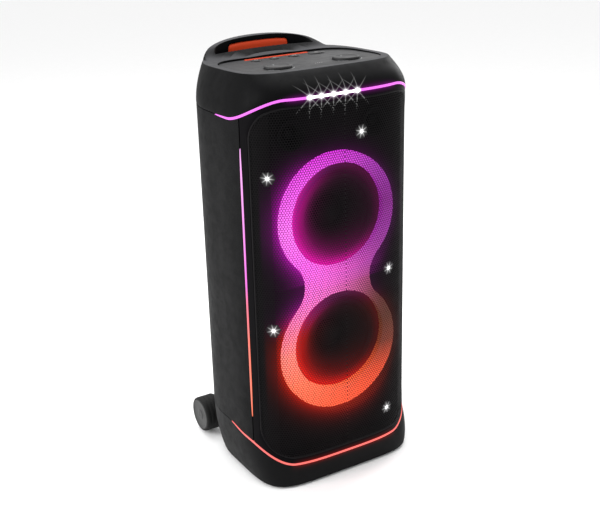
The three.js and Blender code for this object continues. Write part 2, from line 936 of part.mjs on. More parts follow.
// ---- base housing, feet, axle and wheels ----
const FOOT = { a: 195, f: 190, r: 153, nf: 5.6, nr: 2.2 };
function baseRings(shrink, dropTop, floor, levels) {
  const rings = [];
  for (const k of levels) {
    const lean = 1 - (1 - k) ** 2.6;
    const plan = {
      a: lerp(FOOT.a, BODY.a, lean) - shrink,
      f: lerp(FOOT.f, BODY.f, lean) - shrink,
      r: lerp(FOOT.r, BODY.r, lean) - shrink,
      nf: lerp(FOOT.nf, BODY.nf, k),
      nr: lerp(FOOT.nr, BODY.nr, k),
    };
    if (k === 0) {
      plan.a -= 4;
      plan.f -= 4;
      plan.r -= 4;
    }
    rings.push(
      STATIONS.map((s) => {
        const [x, y] = planPoint(angleAt(s), plan);
        return V(x, y, lerp(floor, baseSeam(s) - dropTop, k));
      }),
    );
  }
  rings.push(outlineRing(shrink + 30, (s) => baseSeam(s) - dropTop));
  return loft(rings);
}
const BASE_FLOOR = 3;
{
  const whole = baseRings(0, GAP, BASE_FLOOR, [0, 0.04, 0.14, 0.32, 0.6, 1]);
  const inside = baseRings(9, -12, BASE_FLOOR + 6, [0, 1]);
  let base = whole.subtract(inside);
  for (const side of [-1, 1]) {
    // Wheel arch and the bearing block beside it.
    const arch = drum(WHEEL_R + 5, WHEEL_IN - 6, 240, "x", 0, WHEEL_Y, WHEEL_Z, 28);
    const block = roundBox(128, 153, 96, 170, BASE_FLOOR + 0.5, 78, 10, "x");
    const pair = side > 0 ? [arch, block] : [arch.mirror([1, 0, 0]), block.mirror([1, 0, 0])];
    base = base.subtract(pair[0]).add(pair[1]);
  }
  base = base.subtract(drum(AXLE_R + 0.4, -220, 220, "x", 0, WHEEL_Y, WHEEL_Z, 12));
  base = base.subtract(seats);
  add("base_housing", base, "shell");
}

const FEET = [
  ["foot_front_left", -152, -98, -176, -132],
  ["foot_front_right", 98, 152, -176, -132],
  ["foot_rear_left", -118, -64, 92, 132],
  ["foot_rear_right", 64, 118, 92, 132],
];
for (const [tag, x0, x1, y0, y1] of FEET) {
  add(tag, roundBox(x0, x1, y0, y1, 0, BASE_FLOOR - GAP, 16, "z", 3), "rubber");
}

{
  const axle = drum(AXLE_R, -WHEEL_IN - 12, WHEEL_IN + 12, "x", 0, WHEEL_Y, WHEEL_Z, 12);
  add("wheel_axle", axle, "steel");
}
for (const [tag, side] of [
  ["left", -1],
  ["right", 1],
]) {
  const hub = [
    [AXLE_R + 0.3, WHEEL_IN + 2],
    [28, WHEEL_IN + 2],
    [33, WHEEL_IN + 6],
    [33, WHEEL_OUT - 3],
    [31, WHEEL_OUT - 0.5],
    [28, WHEEL_OUT - 0.5],
    [26.5, WHEEL_OUT - 2],
    [0, WHEEL_OUT - 2],
    [0, WHEEL_IN + 13],
    [AXLE_R + 0.3, WHEEL_IN + 13],
    [AXLE_R + 0.3, WHEEL_IN + 2],
  ];
  const tyre = [
    [33.3, WHEEL_IN + 4],
    [36, WHEEL_IN + 0.5],
    [40, WHEEL_IN],
    [WHEEL_R, WHEEL_IN + 4],
    [WHEEL_R, WHEEL_OUT - 5],
    [40.5, WHEEL_OUT - 1],
    [37, WHEEL_OUT],
    [33.3, WHEEL_OUT - 2],
    [33.3, WHEEL_IN + 4],
  ];
  const place = (profile) =>
    turned(
      profile.map(([r, h]) => [r, side * h]),
      "x",
      0,
      WHEEL_Y,
      WHEEL_Z,
      24,
    );
  add("wheel_" + tag, place(hub), "hub");
  add("tyre_" + tag, place(tyre), "rubber");
}

// ---- rear: flat panel, connection tray, port tube and the removable battery ----
const IO_HALF = 84;
const BATTERY_HALF = 86;
{
  const t = 5;
  let panel = roundBox(
    -rearHalf - 8,
    rearHalf + 8,
    BACK_Y - t,
    BACK_Y,
    rearLow - 8,
    rearHigh + 8,
    18,
    "y",
  );
  panel = panel.intersect(
    loft(
      [0, 900].map((z) =>
        STATIONS.map((s) => {
          const [x, y] = planPoint(angleAt(s), inset(WALL + 0.6));
          return V(x, y, z);
        }),
      ),
    ),
  );
  panel = panel.subtract(
    roundBox(-IO_HALF, IO_HALF, 100, 200, IO_Z[0], IO_Z[1], 10, "y"),
  );
  panel = panel.subtract(
    roundBox(-BATTERY_HALF, BATTERY_HALF, 100, 200, BATTERY_Z[0], BATTERY_Z[1], 10, "y"),
  );
  panel = panel.subtract(drum(45.4, 100, 200, "y", 0, 0, PORT_Z, 24));
  add("rear_panel", panel, "shell");
}

const IO_DEEP = 26;
// Hinged cover over the small ports, hinge line along its top edge.
const COVER = { x0: 10, x1: 64, z0: 644, z1: 680, y: BACK_Y - IO_DEEP + 3.4 };
{
  const [z0, z1] = IO_Z;
  const out = roundBox(
    -IO_HALF + GAP,
    IO_HALF - GAP,
    BACK_Y - IO_DEEP,
    BACK_Y - 0.5,
    z0 + GAP,
    z1 - GAP,
    10,
    "y",
  );
  const hollow = roundBox(
    -IO_HALF + 3,
    IO_HALF - 3,
    BACK_Y - IO_DEEP + 3,
    BACK_Y + 10,
    z0 + 3,
    z1 - 3,
    8,
    "y",
  );
  let tray = out.subtract(hollow);
  const y0 = BACK_Y - IO_DEEP - 5;
  const y1 = BACK_Y - IO_DEEP + 10;
  for (const x of [-52, -22]) {
    tray = tray.subtract(drum(5, y0, y1, "y", x, 0, 706, 20));
    tray = tray.subtract(drum(6.4, y0, y1, "y", x, 0, 664, 20));
  }
  tray = tray.subtract(roundBox(-26.6, 26.6, y0, y1, 581.4, 608.6, 4, "y"));
  tray = tray.subtract(roundBox(22, 38, y0, y1, 660, 668, 1.5, "y", 2));
  // Lugs either side of the hinge barrel of the port cover.
  for (const x of [COVER.x0 + 1, COVER.x1 - 5]) {
    tray = tray.add(box(x, x + 4, COVER.y - 1, COVER.y + 5, COVER.z1, COVER.z1 + 5.4));
  }
  add("io_tray", tray, "bezel");

  // Mains inlet: a sleeve open to the rear with three blades left out.
  const inlet = roundBox(
    -26,
    26,
    BACK_Y - IO_DEEP - 16,
    BACK_Y - IO_DEEP + 5,
    582,
    608,
    4,
    "y",
  ).subtract(
    roundBox(-12, 12, BACK_Y - IO_DEEP - 12, BACK_Y + 20, 587, 603, 3, "y"),
  );
  add("mains_inlet", inlet, "knob");
}

for (const [tag, x] of [
  ["mic_gain_knob", -52],
  ["guitar_gain_knob", -22],
]) {
  const y = BACK_Y - IO_DEEP + 3;
  const profile = [
    [0, y - 10],
    [4.4, y - 10],
    [4.4, y + 0.8],
    [9, y + 0.8],
    [9, y + 11],
    [8, y + 12],
    [0, y + 12],
  ];
  add(tag, turned(profile, "y", x, 0, 706, 16), "knob");
}

{
  let cover = roundBox(
    COVER.x0,
    COVER.x1,
    COVER.y + 3,
    COVER.y + 5.5,
    COVER.z0,
    COVER.z1 - 1.2,
    3,
    "y",
  );
  const tab = [COVER.x0 + 6, COVER.x1 - 6, COVER.y + 3, COVER.y + 5.5];
  cover = cover.add(box(...tab, COVER.z1 - 3.5, COVER.z1 + 3));
  cover = cover.add(
    drum(2.4, COVER.x0 + 6, COVER.x1 - 6, "x", 0, COVER.y + 3.4, COVER.z1 + 3, 16),
  );
  add("port_cover", cover, "rubber");
}

{
  const tube = [
    [44.8, BACK_Y - 0.5],
    [36, BACK_Y - 10],
    [35, BACK_Y - 110],
    [38, BACK_Y - 110],
    [39, BACK_Y - 14],
    [45, BACK_Y - 6],
    [44.8, BACK_Y - 0.5],
  ];
  add("bass_port", turned(tube, "y", 0, 0, PORT_Z, 24), "bezel");
}

const PACK_DEEP = 96;
{
  const [z0, z1] = BATTERY_Z;
  let pack = roundBox(
    -BATTERY_HALF + 1,
    BATTERY_HALF - 1,
    BACK_Y - PACK_DEEP,
    BACK_Y + 2,
    z0 + 1,
    z1 - 1,
    9,
    "y",
  );
  // Finger pull at the bottom edge and the seat of the latch.
  pack = pack.subtract(
    roundBox(-34, 34, BACK_Y - 14, BACK_Y + 10, z0 + 14, z0 + 44, 8, "y"),
  );
  pack = pack.subtract(
    roundBox(-24, 24, BACK_Y - 4, BACK_Y + 10, z1 - 46, z1 - 26, 4, "y"),
  );
  add("battery_pack", pack, "knob");
  const latch = roundBox(
    -22,
    8,
    BACK_Y - 3.6,
    BACK_Y + 3.6,
    z1 - 45,
    z1 - 27,
    4,
    "y",
  );
  add("battery_latch", latch, "orange");
}

{
  // Amplifier on its tray above the battery bay.
  let amplifier = box(-70, 70, 20, 60, 560, 566);
  amplifier = amplifier.add(box(-60, 60, 20, 54, 566, 580));
  for (let i = 0; i < 6; i++) {
    amplifier = amplifier.add(box(-58 + 22 * i, -52 + 22 * i, 20, 54, 579, 604));
  }
  add("amplifier", amplifier, "steel");
}

export default speaker;
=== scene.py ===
"""Party speaker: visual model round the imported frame. Millimetres, +Z up, front towards -Y."""

import math

import bmesh
import bpy
import numpy as np
from mathutils import Matrix, Vector


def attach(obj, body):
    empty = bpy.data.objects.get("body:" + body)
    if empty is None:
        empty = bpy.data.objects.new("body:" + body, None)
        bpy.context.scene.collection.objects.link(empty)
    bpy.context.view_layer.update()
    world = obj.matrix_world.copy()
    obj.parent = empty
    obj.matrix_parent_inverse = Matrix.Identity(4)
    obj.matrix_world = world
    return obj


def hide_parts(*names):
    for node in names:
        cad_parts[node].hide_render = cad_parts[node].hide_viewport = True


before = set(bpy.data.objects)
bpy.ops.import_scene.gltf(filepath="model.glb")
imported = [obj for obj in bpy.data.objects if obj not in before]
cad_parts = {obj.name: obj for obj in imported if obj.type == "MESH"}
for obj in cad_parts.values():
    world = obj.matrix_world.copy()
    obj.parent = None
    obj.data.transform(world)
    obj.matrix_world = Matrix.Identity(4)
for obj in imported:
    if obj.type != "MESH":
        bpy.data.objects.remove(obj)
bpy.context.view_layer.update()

MM = 0.001
ROOT = "cabinet_body"

# ---- driving dimensions, as in the part's source ----
BODY = {"a": 208, "f": 192, "r": 178, "nf": 3.6, "nr": 2.45}
HEIGHT = 938
SEAM_TOP_FRONT = 868
SEAM_TOP_DROP = 44
SEAM_BASE_FRONT = 55
SEAM_BASE_RISE = 50
SEAM_BASE_TAIL = 13
STRIP_HALF = 3
STRIP_END_Y = -32
SIDE_STRIP_Y = -115
SIDE_STRIP_LOW = 166
SIDE_STRIP_HIGH = 768
MESH_EDGE_Y = -133
MESH_MARGIN = 14
RIM_Z = 913.4
RIM_SLOPE = 0.034
RIM = {"a": 181, "f": 144, "r": 180, "nf": 4.4, "nr": 2.75}
ARCH_HALF = 152
ARCH_POWER = 0.49
RING_UP_Z = 604
RING_LOW_Z = 320
RING_IN = 113
RING_UP = (602, 139)
RING_LOW = (301, 143)
RING_HOLES = (604, 318)
RING_Y = -165
BAFFLE_Y = -150
WHEEL_R = 42
WHEEL_Y = 192.4 - WHEEL_R
WHEEL_Z = 47
WHEEL_OUT = 204
WHEEL_IN = 160
DIAL_X = 82
DIAL_Y = -74
DIAL_R = 28
PANEL_SLOPE = 0.048
PANEL_FRONT_Y = -128
PANEL_REAR_Y = 84
PANEL_FRONT_Z = 911.5
SLOT_HALF = 124
SLOT_FRONT_Y = 120
SLOT_DEPTH = 34
BAR_LOW = 894
GRIP_HALF = 76
GRIP_LOW = 898
GRIP_HIGH = 926
GRIP_REAR_Y = 171
LINER_Y = 74
TWEETER_X = 102
TWEETER_Z = 789
REAR_HALF = 112
REAR_LOW = 140
REAR_HIGH = 800
IO_HALF = 84
IO_Z = (560, 745)
IO_DEEP = 26
BATTERY_HALF = 86
BATTERY_Z = (190, 420)
PACK_DEEP = 96
PORT_Z = 492
BACK_Y = 152
BASE_FLOOR = 3


# ---- curves and small maths ----
def ease(low, high, x):
    k = np.clip((np.asarray(x, float) - low) / (high - low), 0, 1)
    return k * k * (3 - 2 * k)


def lerp(a, b, k):
    return a + (b - a) * k


def plan_point(angle, a, f, r, nf, nr):
    """Point of a superellipse outline; angle 0 is the middle of the front, growing to the right."""
    s, c = np.sin(angle), np.cos(angle)
    n = np.where(c >= 0, nf, nr)
    x = a * np.sign(s) * np.abs(s) ** (2 / n)
    y = np.where(c >= 0, -f, r) * np.abs(c) ** (2 / n)
    return x, y


def grown(plan, out):
    return {**plan, "a": plan["a"] + out, "f": plan["f"] + out, "r": plan["r"] + out}


ARC_ANGLES = np.linspace(0, math.pi, 2881)
_x, _y = plan_point(ARC_ANGLES, **BODY)
ARC_RUN = np.concatenate([[0], np.cumsum(np.hypot(np.diff(_x), np.diff(_y)))])
HALF_ARC = float(ARC_RUN[-1])


def angle_at(s):
    """Outline angle at distance s round from the middle of the front."""
    s = (np.asarray(s, float) + HALF_ARC) % (2 * HALF_ARC) - HALF_ARC
    return np.sign(s) * np.interp(np.abs(s), ARC_RUN, ARC_ANGLES)


def arc_at_y(y):
    return float(ARC_RUN[np.argmax(_y >= y)])


ARC_STRIP = arc_at_y(SIDE_STRIP_Y)
ARC_MESH = arc_at_y(MESH_EDGE_Y)
ARC_TIP = arc_at_y(STRIP_END_Y)
ARC_CORNER = arc_at_y(-180)


def around(s):
    """Distance from the middle of the front, either way round."""
    return np.abs((np.asarray(s, float) + HALF_ARC) % (2 * HALF_ARC) - HALF_ARC)


def top_seam(s):
    return SEAM_TOP_FRONT - SEAM_TOP_DROP * ease(-5, 135, around(s) - ARC_CORNER)


def base_seam(s):
    d = around(s) - ARC_CORNER
    return SEAM_BASE_FRONT + SEAM_BASE_RISE * ease(-7, 118, d) + SEAM_BASE_TAIL * ease(98, 188, d)


def wall(s, z, out=0):
    """Points of the body wall at distance s and height z, moved out by out."""
    s, z, out = np.broadcast_arrays(np.asarray(s, float), z, out)
    x, y = plan_point(angle_at(s), **grown(BODY, out))
    return np.stack([x, y, z + 0.0 * x], axis=-1)


# ---- mesh helpers ----
def grid_faces(ni, nj, wrap_i=False, wrap_j=False, start=0, flip=False):
    """Quads over a grid of ni by nj points numbered row by row."""
    i = np.arange(ni if wrap_i else ni - 1)
    j = np.arange(nj if wrap_j else nj - 1)
    i, j = np.meshgrid(i, j, indexing="ij")
    i2, j2 = (i + 1) % ni, (j + 1) % nj
    quads = np.stack([i * nj + j, i2 * nj + j, i2 * nj + j2, i * nj + j2], axis=-1).reshape(-1, 4)
    return (quads[:, ::-1] if flip else quads) + start


def mesh_of(name, points, faces):
    """A mesh from points in millimetres; coincident points are merged."""
    mesh = bpy.data.meshes.new(name)
    corners = [tuple(p) for p in np.asarray(points, float) * MM]
    mesh.from_pydata(corners, [], [tuple(map(int, f)) for f in faces])
    bm = bmesh.new()
    bm.from_mesh(mesh)
    bmesh.ops.remove_doubles(bm, verts=bm.verts, dist=1e-6)
    bmesh.ops.dissolve_degenerate(bm, edges=bm.edges, dist=1e-7)
    bmesh.ops.recalc_face_normals(bm, faces=bm.faces)
    bm.to_mesh(mesh)
    bm.free()
    return mesh


def new_object(name, mesh):
    o = bpy.data.objects.new(name, mesh)
    bpy.context.scene.collection.objects.link(o)
    return o


def settle(o):
    """Applies all the modifiers of o to its mesh."""
    graph = bpy.context.evaluated_depsgraph_get()
    made = bpy.data.meshes.new_from_object(o.evaluated_get(graph))
    old = o.data
    o.modifiers.clear()
    o.data = made
    bpy.data.meshes.remove(old)
    return o


def boolean(o, tools, operation="DIFFERENCE"):
    """Cuts, joins or intersects o with each tool, then removes the tools."""
    for tool in tools:
        m = o.modifiers.new("cut", "BOOLEAN")
        m.operation = operation
        m.solver = "EXACT"
        m.object = tool
        settle(o)
        bpy.data.objects.remove(tool)
    return o


def soft_edges(o, width, segments=2, angle=35):
    """Rounds the edges sharper than angle."""
    m = o.modifiers.new("edges", "BEVEL")
    m.width = width * MM
    m.segments = segments
    m.limit_method = "ANGLE"
    m.angle_limit = math.radians(angle)
    return settle(o)


def finish_piece(o, material, body=ROOT, replaces=(), sharp=32):
    """Smooth shading, material and body, and hides the CAD nodes it stands for."""
    o.data.materials.clear()
    o.data.materials.append(material)
    for p in o.data.polygons:
        p.use_smooth = True
    o.data.set_sharp_from_angle(angle=math.radians(sharp))
    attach(o, body)
    if replaces:
        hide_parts(*replaces)
    return o


def plate_object(name, outer, inner):
    """A closed curved plate from two facing grids of points."""
    ni, nj = outer.shape[:2]
    points = np.concatenate([outer.reshape(-1, 3), inner.reshape(-1, 3)])
    n = ni * nj
    faces = [grid_faces(ni, nj), grid_faces(ni, nj, start=n, flip=True)]
    i, j = np.arange(ni - 1), np.arange(nj - 1)
    for edge in (0, nj - 1):
        a = i * nj + edge
        faces.append(np.stack([a, a + n, a + nj + n, a + nj], axis=-1))
    for edge in (0, (ni - 1) * nj):
        a = edge + j
        faces.append(np.stack([a, a + 1, a + 1 + n, a + n], axis=-1))
    return new_object(name, mesh_of(name, points, np.concatenate(faces)))


def loft_object(name, rings):
    """A closed solid from a stack of rings with equal counts; each end closes in a fan."""
    rings = np.asarray(rings, float)
    nk, n = rings.shape[:2]
    points = np.concatenate([rings.reshape(-1, 3), rings[0].mean(0)[None], rings[-1].mean(0)[None]])
    faces = [tuple(f) for f in grid_faces(nk, n, wrap_j=True)]
    for k, centre in ((0, nk * n), (nk - 1, nk * n + 1)):
        faces += [(k * n + i, k * n + (i + 1) % n, centre) for i in range(n)]
    return new_object(name, mesh_of(name, points, faces))


def soften(profile, radius, steps=3):
    """Rounds the corners of an open polyline of (r, h) points."""
    points = [np.array(p, float) for p in profile]
    out = [points[0]]
    for before, corner, after in zip(points, points[1:], points[2:]):
        into, onward = before - corner, after - corner
        reach_in = min(radius, 0.45 * np.linalg.norm(into))
        reach_on = min(radius, 0.45 * np.linalg.norm(onward))
        a = corner + into / np.linalg.norm(into) * reach_in
        b = corner + onward / np.linalg.norm(onward) * reach_on
        for k in np.linspace(0, 1, steps + 1):
            out.append((1 - k) ** 2 * a + 2 * k * (1 - k) * corner + k * k * b)
    out.append(points[-1])
    return out


def lathe_object(name, profile, axis, centre, segments=96, radius=0.6):
    """A turned solid: profile points (radius, height along the axis) from the centre point."""
    rounded = np.array(soften(profile, radius) if radius else profile)
    t = np.linspace(0, 2 * math.pi, segments, endpoint=False)
    r, h = rounded[:, 0][:, None], rounded[:, 1][:, None] + 0 * t
    u, v = r * np.cos(t), r * np.sin(t)
    order = {"x": (h, u, v), "y": (u, h, v), "z": (u, v, h)}[axis]
    points = np.stack(order, axis=-1) + np.array(centre, float)
    faces = grid_faces(len(rounded), segments, wrap_j=True)
    return new_object(name, mesh_of(name, points.reshape(-1, 3), faces))


def drum(name, r, low, high, axis="y", centre=(0, 0, 0), segments=32):
    """A plain cylinder from low to high along its axis."""
    return lathe_object(name, [(0, low), (r, low), (r, high), (0, high)], axis, centre, segments, 0)


def moved(profile, along):
    """A turned profile moved along its axis."""
    return [(r, along + h) for r, h in profile]


def rounded_loop(half_w, half_h, radius, side=6, corner=8):
    """Points of a rounded rectangle round the origin, in equal numbers for any size."""
    points = []
    for quarter in range(4):
        turn = quarter * math.pi / 2
        sx, sz = [(1, 1), (-1, 1), (-1, -1), (1, -1)][quarter]
        cx, cz = sx * (half_w - radius), sz * (half_h - radius)
        for k in range(corner + 1):
            a = turn + k / corner * math.pi / 2
            points.append((cx + radius * math.cos(a), cz + radius * math.sin(a)))
        nx, nz = [(-1, 1), (-1, -1), (1, -1), (1, 1)][quarter]
        qx, qz = nx * (half_w - radius), nz * (half_h - radius)
        b = turn + math.pi / 2
        start = np.array(points[-1])
        end = np.array([qx + radius * math.cos(b), qz + radius * math.sin(b)])
        points += [tuple(lerp(start, end, k / side)) for k in range(1, side)]
    return np.array(points)


def round_box(name, x, y, z, radius, axis="z", corner=6):
    """A box between limits x, y and z with corners rounded as seen along one axis."""
    spans = {"x": x, "y": y, "z": z}
    u, v = {"x": "yz", "y": "xz", "z": "xy"}[axis]
    (u0, u1), (v0, v1), (h0, h1) = spans[u], spans[v], spans[axis]
    loop = rounded_loop((u1 - u0) / 2, (v1 - v0) / 2, radius, side=2, corner=corner)
    rings = []
    for h in (h0, h1):
        cols = {u: loop[:, 0] + (u0 + u1) / 2, v: loop[:, 1] + (v0 + v1) / 2, axis: h + 0 * loop[:, 0]}
        rings.append(np.stack([cols["x"], cols["y"], cols["z"]], axis=-1))
    return loft_object(name, rings)


# ---- shader helpers ----
def linear(code):
    """A linear colour from a hex code."""
    channels = [int(code[i : i + 2], 16) / 255 for i in (1, 3, 5)]
    return tuple(c / 12.92 if c <= 0.04045 else ((c + 0.055) / 1.055) ** 2.4 for c in channels) + (1.0,)


class Field:
    """A number at each point of a surface; arithmetic on it adds Math nodes."""

    def __init__(self, tree, socket):
        self.tree = tree
        self.socket = socket

    def math(self, operation, *others):
        node = self.tree.nodes.new("ShaderNodeMath")
        node.operation = operation
        for slot, value in zip(node.inputs, (self, *others)):
            if isinstance(value, Field):
                self.tree.links.new(value.socket, slot)
            else:
                slot.default_value = value
        return Field(self.tree, node.outputs[0])

    def __add__(self, other):
        return self.math("ADD", other)

    def __sub__(self, other):
        return self.math("SUBTRACT", other)

    def __mul__(self, other):
        return self.math("MULTIPLY", other)

    def __neg__(self):
        return self.math("MULTIPLY", -1.0)

    def rise(self, low, high):
        """0 below low, 1 above high, smooth between."""
        node = self.tree.nodes.new("ShaderNodeMapRange")
        node.interpolation_type = "SMOOTHSTEP"
        self.tree.links.new(self.socket, node.inputs["Value"])
        node.inputs["From Min"].default_value = low
        node.inputs["From Max"].default_value = high
        return Field(self.tree, node.outputs["Result"])


def place(tree):
    """The point of the surface at rest, in millimetres, as three fields and the vector socket."""
    coords = tree.nodes.new("ShaderNodeTexCoord")
    scale = tree.nodes.new("ShaderNodeVectorMath")
    scale.operation = "SCALE"
    scale.inputs["Scale"].default_value = 1000.0
    tree.links.new(coords.outputs["Object"], scale.inputs[0])
    split = tree.nodes.new("ShaderNodeSeparateXYZ")
    tree.links.new(scale.outputs[0], split.inputs[0])
    return [Field(tree, split.outputs[k]) for k in range(3)], scale.outputs[0]


def noise(tree, vector, size, detail=3.0, rough=0.55):
    """Noise with features about size millimetres across."""
    node = tree.nodes.new("ShaderNodeTexNoise")
    tree.links.new(vector, node.inputs["Vector"])
    node.inputs["Scale"].default_value = 1.0 / size
    node.inputs["Detail"].default_value = detail
    node.inputs["Roughness"].default_value = rough
    return Field(tree, node.outputs["Fac"])


def ramp(tree, field, stops):
    """A colour from a list of (position, hex) stops; all positions are set before any colour."""
    node = tree.nodes.new("ShaderNodeValToRGB")
    band = node.color_ramp
    while len(band.elements) < len(stops):
        band.elements.new(0.5)
    for element, (position, _) in zip(band.elements, stops):
        element.position = position
    for element, (position, code) in zip(band.elements, stops):
        element.position = position
        element.color = linear(code)
    tree.links.new(field.socket, node.inputs[0])
    return node.outputs[0]


def blend_colour(tree, share, a, b, mode="MIX"):
    """a where share is 0, b where it is 1."""
    node = tree.nodes.new("ShaderNodeMix")
    node.data_type = "RGBA"
    node.blend_type = mode
    tree.links.new(share.socket, node.inputs["Factor"])
    for socket, value in ((node.inputs[6], a), (node.inputs[7], b)):
        if isinstance(value, tuple):
            socket.default_value = value
        else:
            tree.links.new(value, socket)
    return node.outputs[2]


def bump(tree, shader, height, depth):
    """Adds a bump of depth millimetres where height is 1."""
    node = tree.nodes.new("ShaderNodeBump")
    node.inputs["Distance"].default_value = depth * MM
    node.inputs["Strength"].default_value = 1.0
    tree.links.new(height.socket, node.inputs["Height"])
    tree.links.new(node.outputs[0], shader.inputs["Normal"])


def dimples(u, v, pitch):
    """Round dimples in a honeycomb over two coordinates: 0 at the rim of a dimple, 1 at its middle."""

    def lattice(du, dv):
        a = (u + du).math("WRAP", pitch / 2, -pitch / 2)
        b = (v + dv).math("WRAP", pitch * 0.866, -pitch * 0.866)
        return (a * a + b * b).math("SQRT")

    near = lattice(0.0, 0.0).math("MINIMUM", lattice(pitch / 2, pitch * 0.866))
    return -near.rise(pitch * 0.18, pitch * 0.44) + 1.0


def plastic(
    name,
    code,
    roughness=0.55,
    grain=0.9,
    depth=0.06,
    dark=0.75,
    metallic=0.0,
    spread=0.12,
    pitch=0.0,
    gloss=0.3,
    top=None,
):
    """Moulded plastic: spark grain, slow colour drift and uneven gloss.

    pitch adds a dimple texture, and top is a lighter colour painted on the faces that look up: a painted
    highlight of light from above, not a colour of the plastic.
    """
    m = bpy.data.materials.new(name)
    m.use_nodes = True
    tree = m.node_tree
    shader = tree.nodes["Principled BSDF"]
    (x, y, z), vector = place(tree)
    drift = noise(tree, vector, 60.0, 4.0).rise(0.3, 0.7)
    base = linear(code)
    shade = tuple(c * dark for c in base[:3]) + (1.0,)
    colour = blend_colour(tree, drift, shade, base)
    # Painted highlight: faces that look up blend towards the lighter top colour, as if lit from above.
    if top:
        facing = tree.nodes.new("ShaderNodeNewGeometry")
        split = tree.nodes.new("ShaderNodeSeparateXYZ")
        tree.links.new(facing.outputs["True Normal"], split.inputs[0])
        upward = Field(tree, split.outputs[2]).rise(0.86, 0.99)
        colour = blend_colour(tree, upward, colour, linear(top))
    tree.links.new(colour, shader.inputs["Base Color"])
    fine = noise(tree, vector, grain, 2.0)
    wear = noise(tree, vector, 22.0, 5.0, 0.65).rise(0.35, 0.75)
    rough = wear * spread + (roughness - spread / 2) + fine * 0.06
    tree.links.new(rough.socket, shader.inputs["Roughness"])
    shader.inputs["Metallic"].default_value = metallic
    shader.inputs["Specular IOR Level"].default_value = gloss
    height = fine
    if pitch:
        geometry = tree.nodes.new("ShaderNodeNewGeometry")
        normal = tree.nodes.new("ShaderNodeSeparateXYZ")
        tree.links.new(geometry.outputs["True Normal"], normal.inputs[0])
        sideways = Field(tree, normal.outputs[0]).math("ABSOLUTE").rise(0.45, 0.75)
        on_side = dimples(y, z, pitch)
        on_back = dimples(x, z, pitch)
        pits = on_side * sideways + on_back * (-sideways + 1.0)
        height = fine * 0.35 - pits
        depth *= 3
    bump(tree, shader, height, depth)
    return m


def metal(name, code, roughness=0.3, grain=0.8):
    return plastic(name, code, roughness, grain, depth=0.02, metallic=1.0, spread=0.1)


# ---- the light that the ring throws, as colour and strength over the front ----
LEFT_COLOURS = [
    (165, "#f25c34"),
    (250, "#f4704e"),
    (325, "#f27c70"),
    (385, "#f07096"),
    (440, "#ee68c4"),
    (520, "#ea5cd8"),
    (604, "#e86cdc"),
    (680, "#da50d4"),
    (746, "#c62ac6"),
]
RIGHT_COLOURS = [
    (165, "#e84820"),
    (215, "#c44018"),
    (270, "#6a2c10"),
    (330, "#4c260e"),
    (400, "#4c2012"),
    (440, "#7a2e48"),
    (480, "#8a3088"),
    (540, "#84248a"),
    (604, "#741678"),
    (690, "#882294"),
    (746, "#a824b2"),
]
LOW_Z = 150.0
SPAN_Z = 620.0


def ring_colour(tree, x, z):
    """Pink and violet above, salmon and orange below, deeper on the right."""
    along = (z - x * 0.12 - LOW_Z) * (1 / SPAN_Z)
    left = ramp(tree, along, [((p - LOW_Z) / SPAN_Z, c) for p, c in LEFT_COLOURS])
    right = ramp(tree, along, [((p - LOW_Z) / SPAN_Z, c) for p, c in RIGHT_COLOURS])
    return blend_colour(tree, x.rise(-95.0, 125.0), left, right)


def ring_distances(x, z):
    """Distance outside the figure-of-eight outline, and distance inside the nearer hole."""

    def reach(height):
        return (x * x + (z - height) * (z - height)).math("SQRT")

    outside = (reach(RING_UP[0]) - RING_UP[1]).math("SMOOTH_MIN", reach(RING_LOW[0]) - RING_LOW[1], 112.0)
    up, low = (-reach(height) + RING_IN for height in RING_HOLES)
    return outside, up.math("MAXIMUM", low)


def halo(x, z):
    """Strength of the glow round the ring: 1 on it, fading out to both sides, more to the lower left."""
    outside, inside = ring_distances(x, z)
    beyond = (outside.math("MAXIMUM", 0.0) * (-1 / 13.0)).math("EXPONENT")
    within = (inside.math("MAXIMUM", 0.0) * (-1 / 17.0)).math("EXPONENT")
    middle = z.rise(455.0, 470.0)
    centre = middle * (RING_UP_Z - RING_LOW_Z) + RING_LOW_Z
    lean = (x * 0.8 + (z - centre) * 0.6) * (-1 / RING_IN)
    side = lean.rise(-0.55, 0.75)
    return beyond, within * (side * 0.9 + 0.1)


def emit(tree, shader, colour, strength):
    tree.links.new(colour, shader.inputs["Emission Color"])
    shader.inputs["Emission Strength"].default_value = strength


GLOW_OUT = ("#b010a8", "#c01c08")
GLOW_IN = ("#f010b0", "#f01c14")
BLACK = (0.0, 0.0, 0.0, 1.0)

# ---- bright points: five strobes in the top strip and five stars on the grille ----
STROBE_X = (-79, -53, -25, 3, 31)
STROBE_Z = 869
STARS = [
    # x, y, z and direction of the wall there
    (-166, -163, 712, (0.72, -0.69)),
    (41, -191, 783, (1.0, 0.0)),
    (114, -185, 467, (0.97, 0.24)),
    (-165, -164, 381, (0.72, -0.69)),
    (110, -186, 126, (0.97, 0.24)),
]


def sparkle(u, v, turn, arms, core, width, reach, level):
    """A bright point with thin straight rays that fade outwards."""
    r = (u * u + v * v).math("SQRT")
    fold = (v.math("ARCTAN2", u) * (arms / 2) + turn).math("SINE").math("ABSOLUTE")
    ray = (r * fold * (-2 / (arms * width))).math("EXPONENT")
    fade = (r * (-1 / reach) + 1.0).math("MAXIMUM", 0.0)
    spot = (r * r * (-0.5 / core**2)).math("EXPONENT")
    return ray * fade * level + spot


RAY_LEAN = 0.38


def strobe_rays(x, y, z, level):
    """Rays over the front; on the leaning top they run on as straight lines."""
    rise = z - STROBE_Z + (y + BODY["f"]) * RAY_LEAN
    total = None
    for k, middle in enumerate(STROBE_X):
        ray = sparkle(x - middle, rise, 0.18, 8, 3.4, 0.5, 44.0 + 3 * (k % 2), level)
        total = ray if total is None else total + ray
    return total


STAR_HAZE = 3.0
STAR_SEAT = 15.0


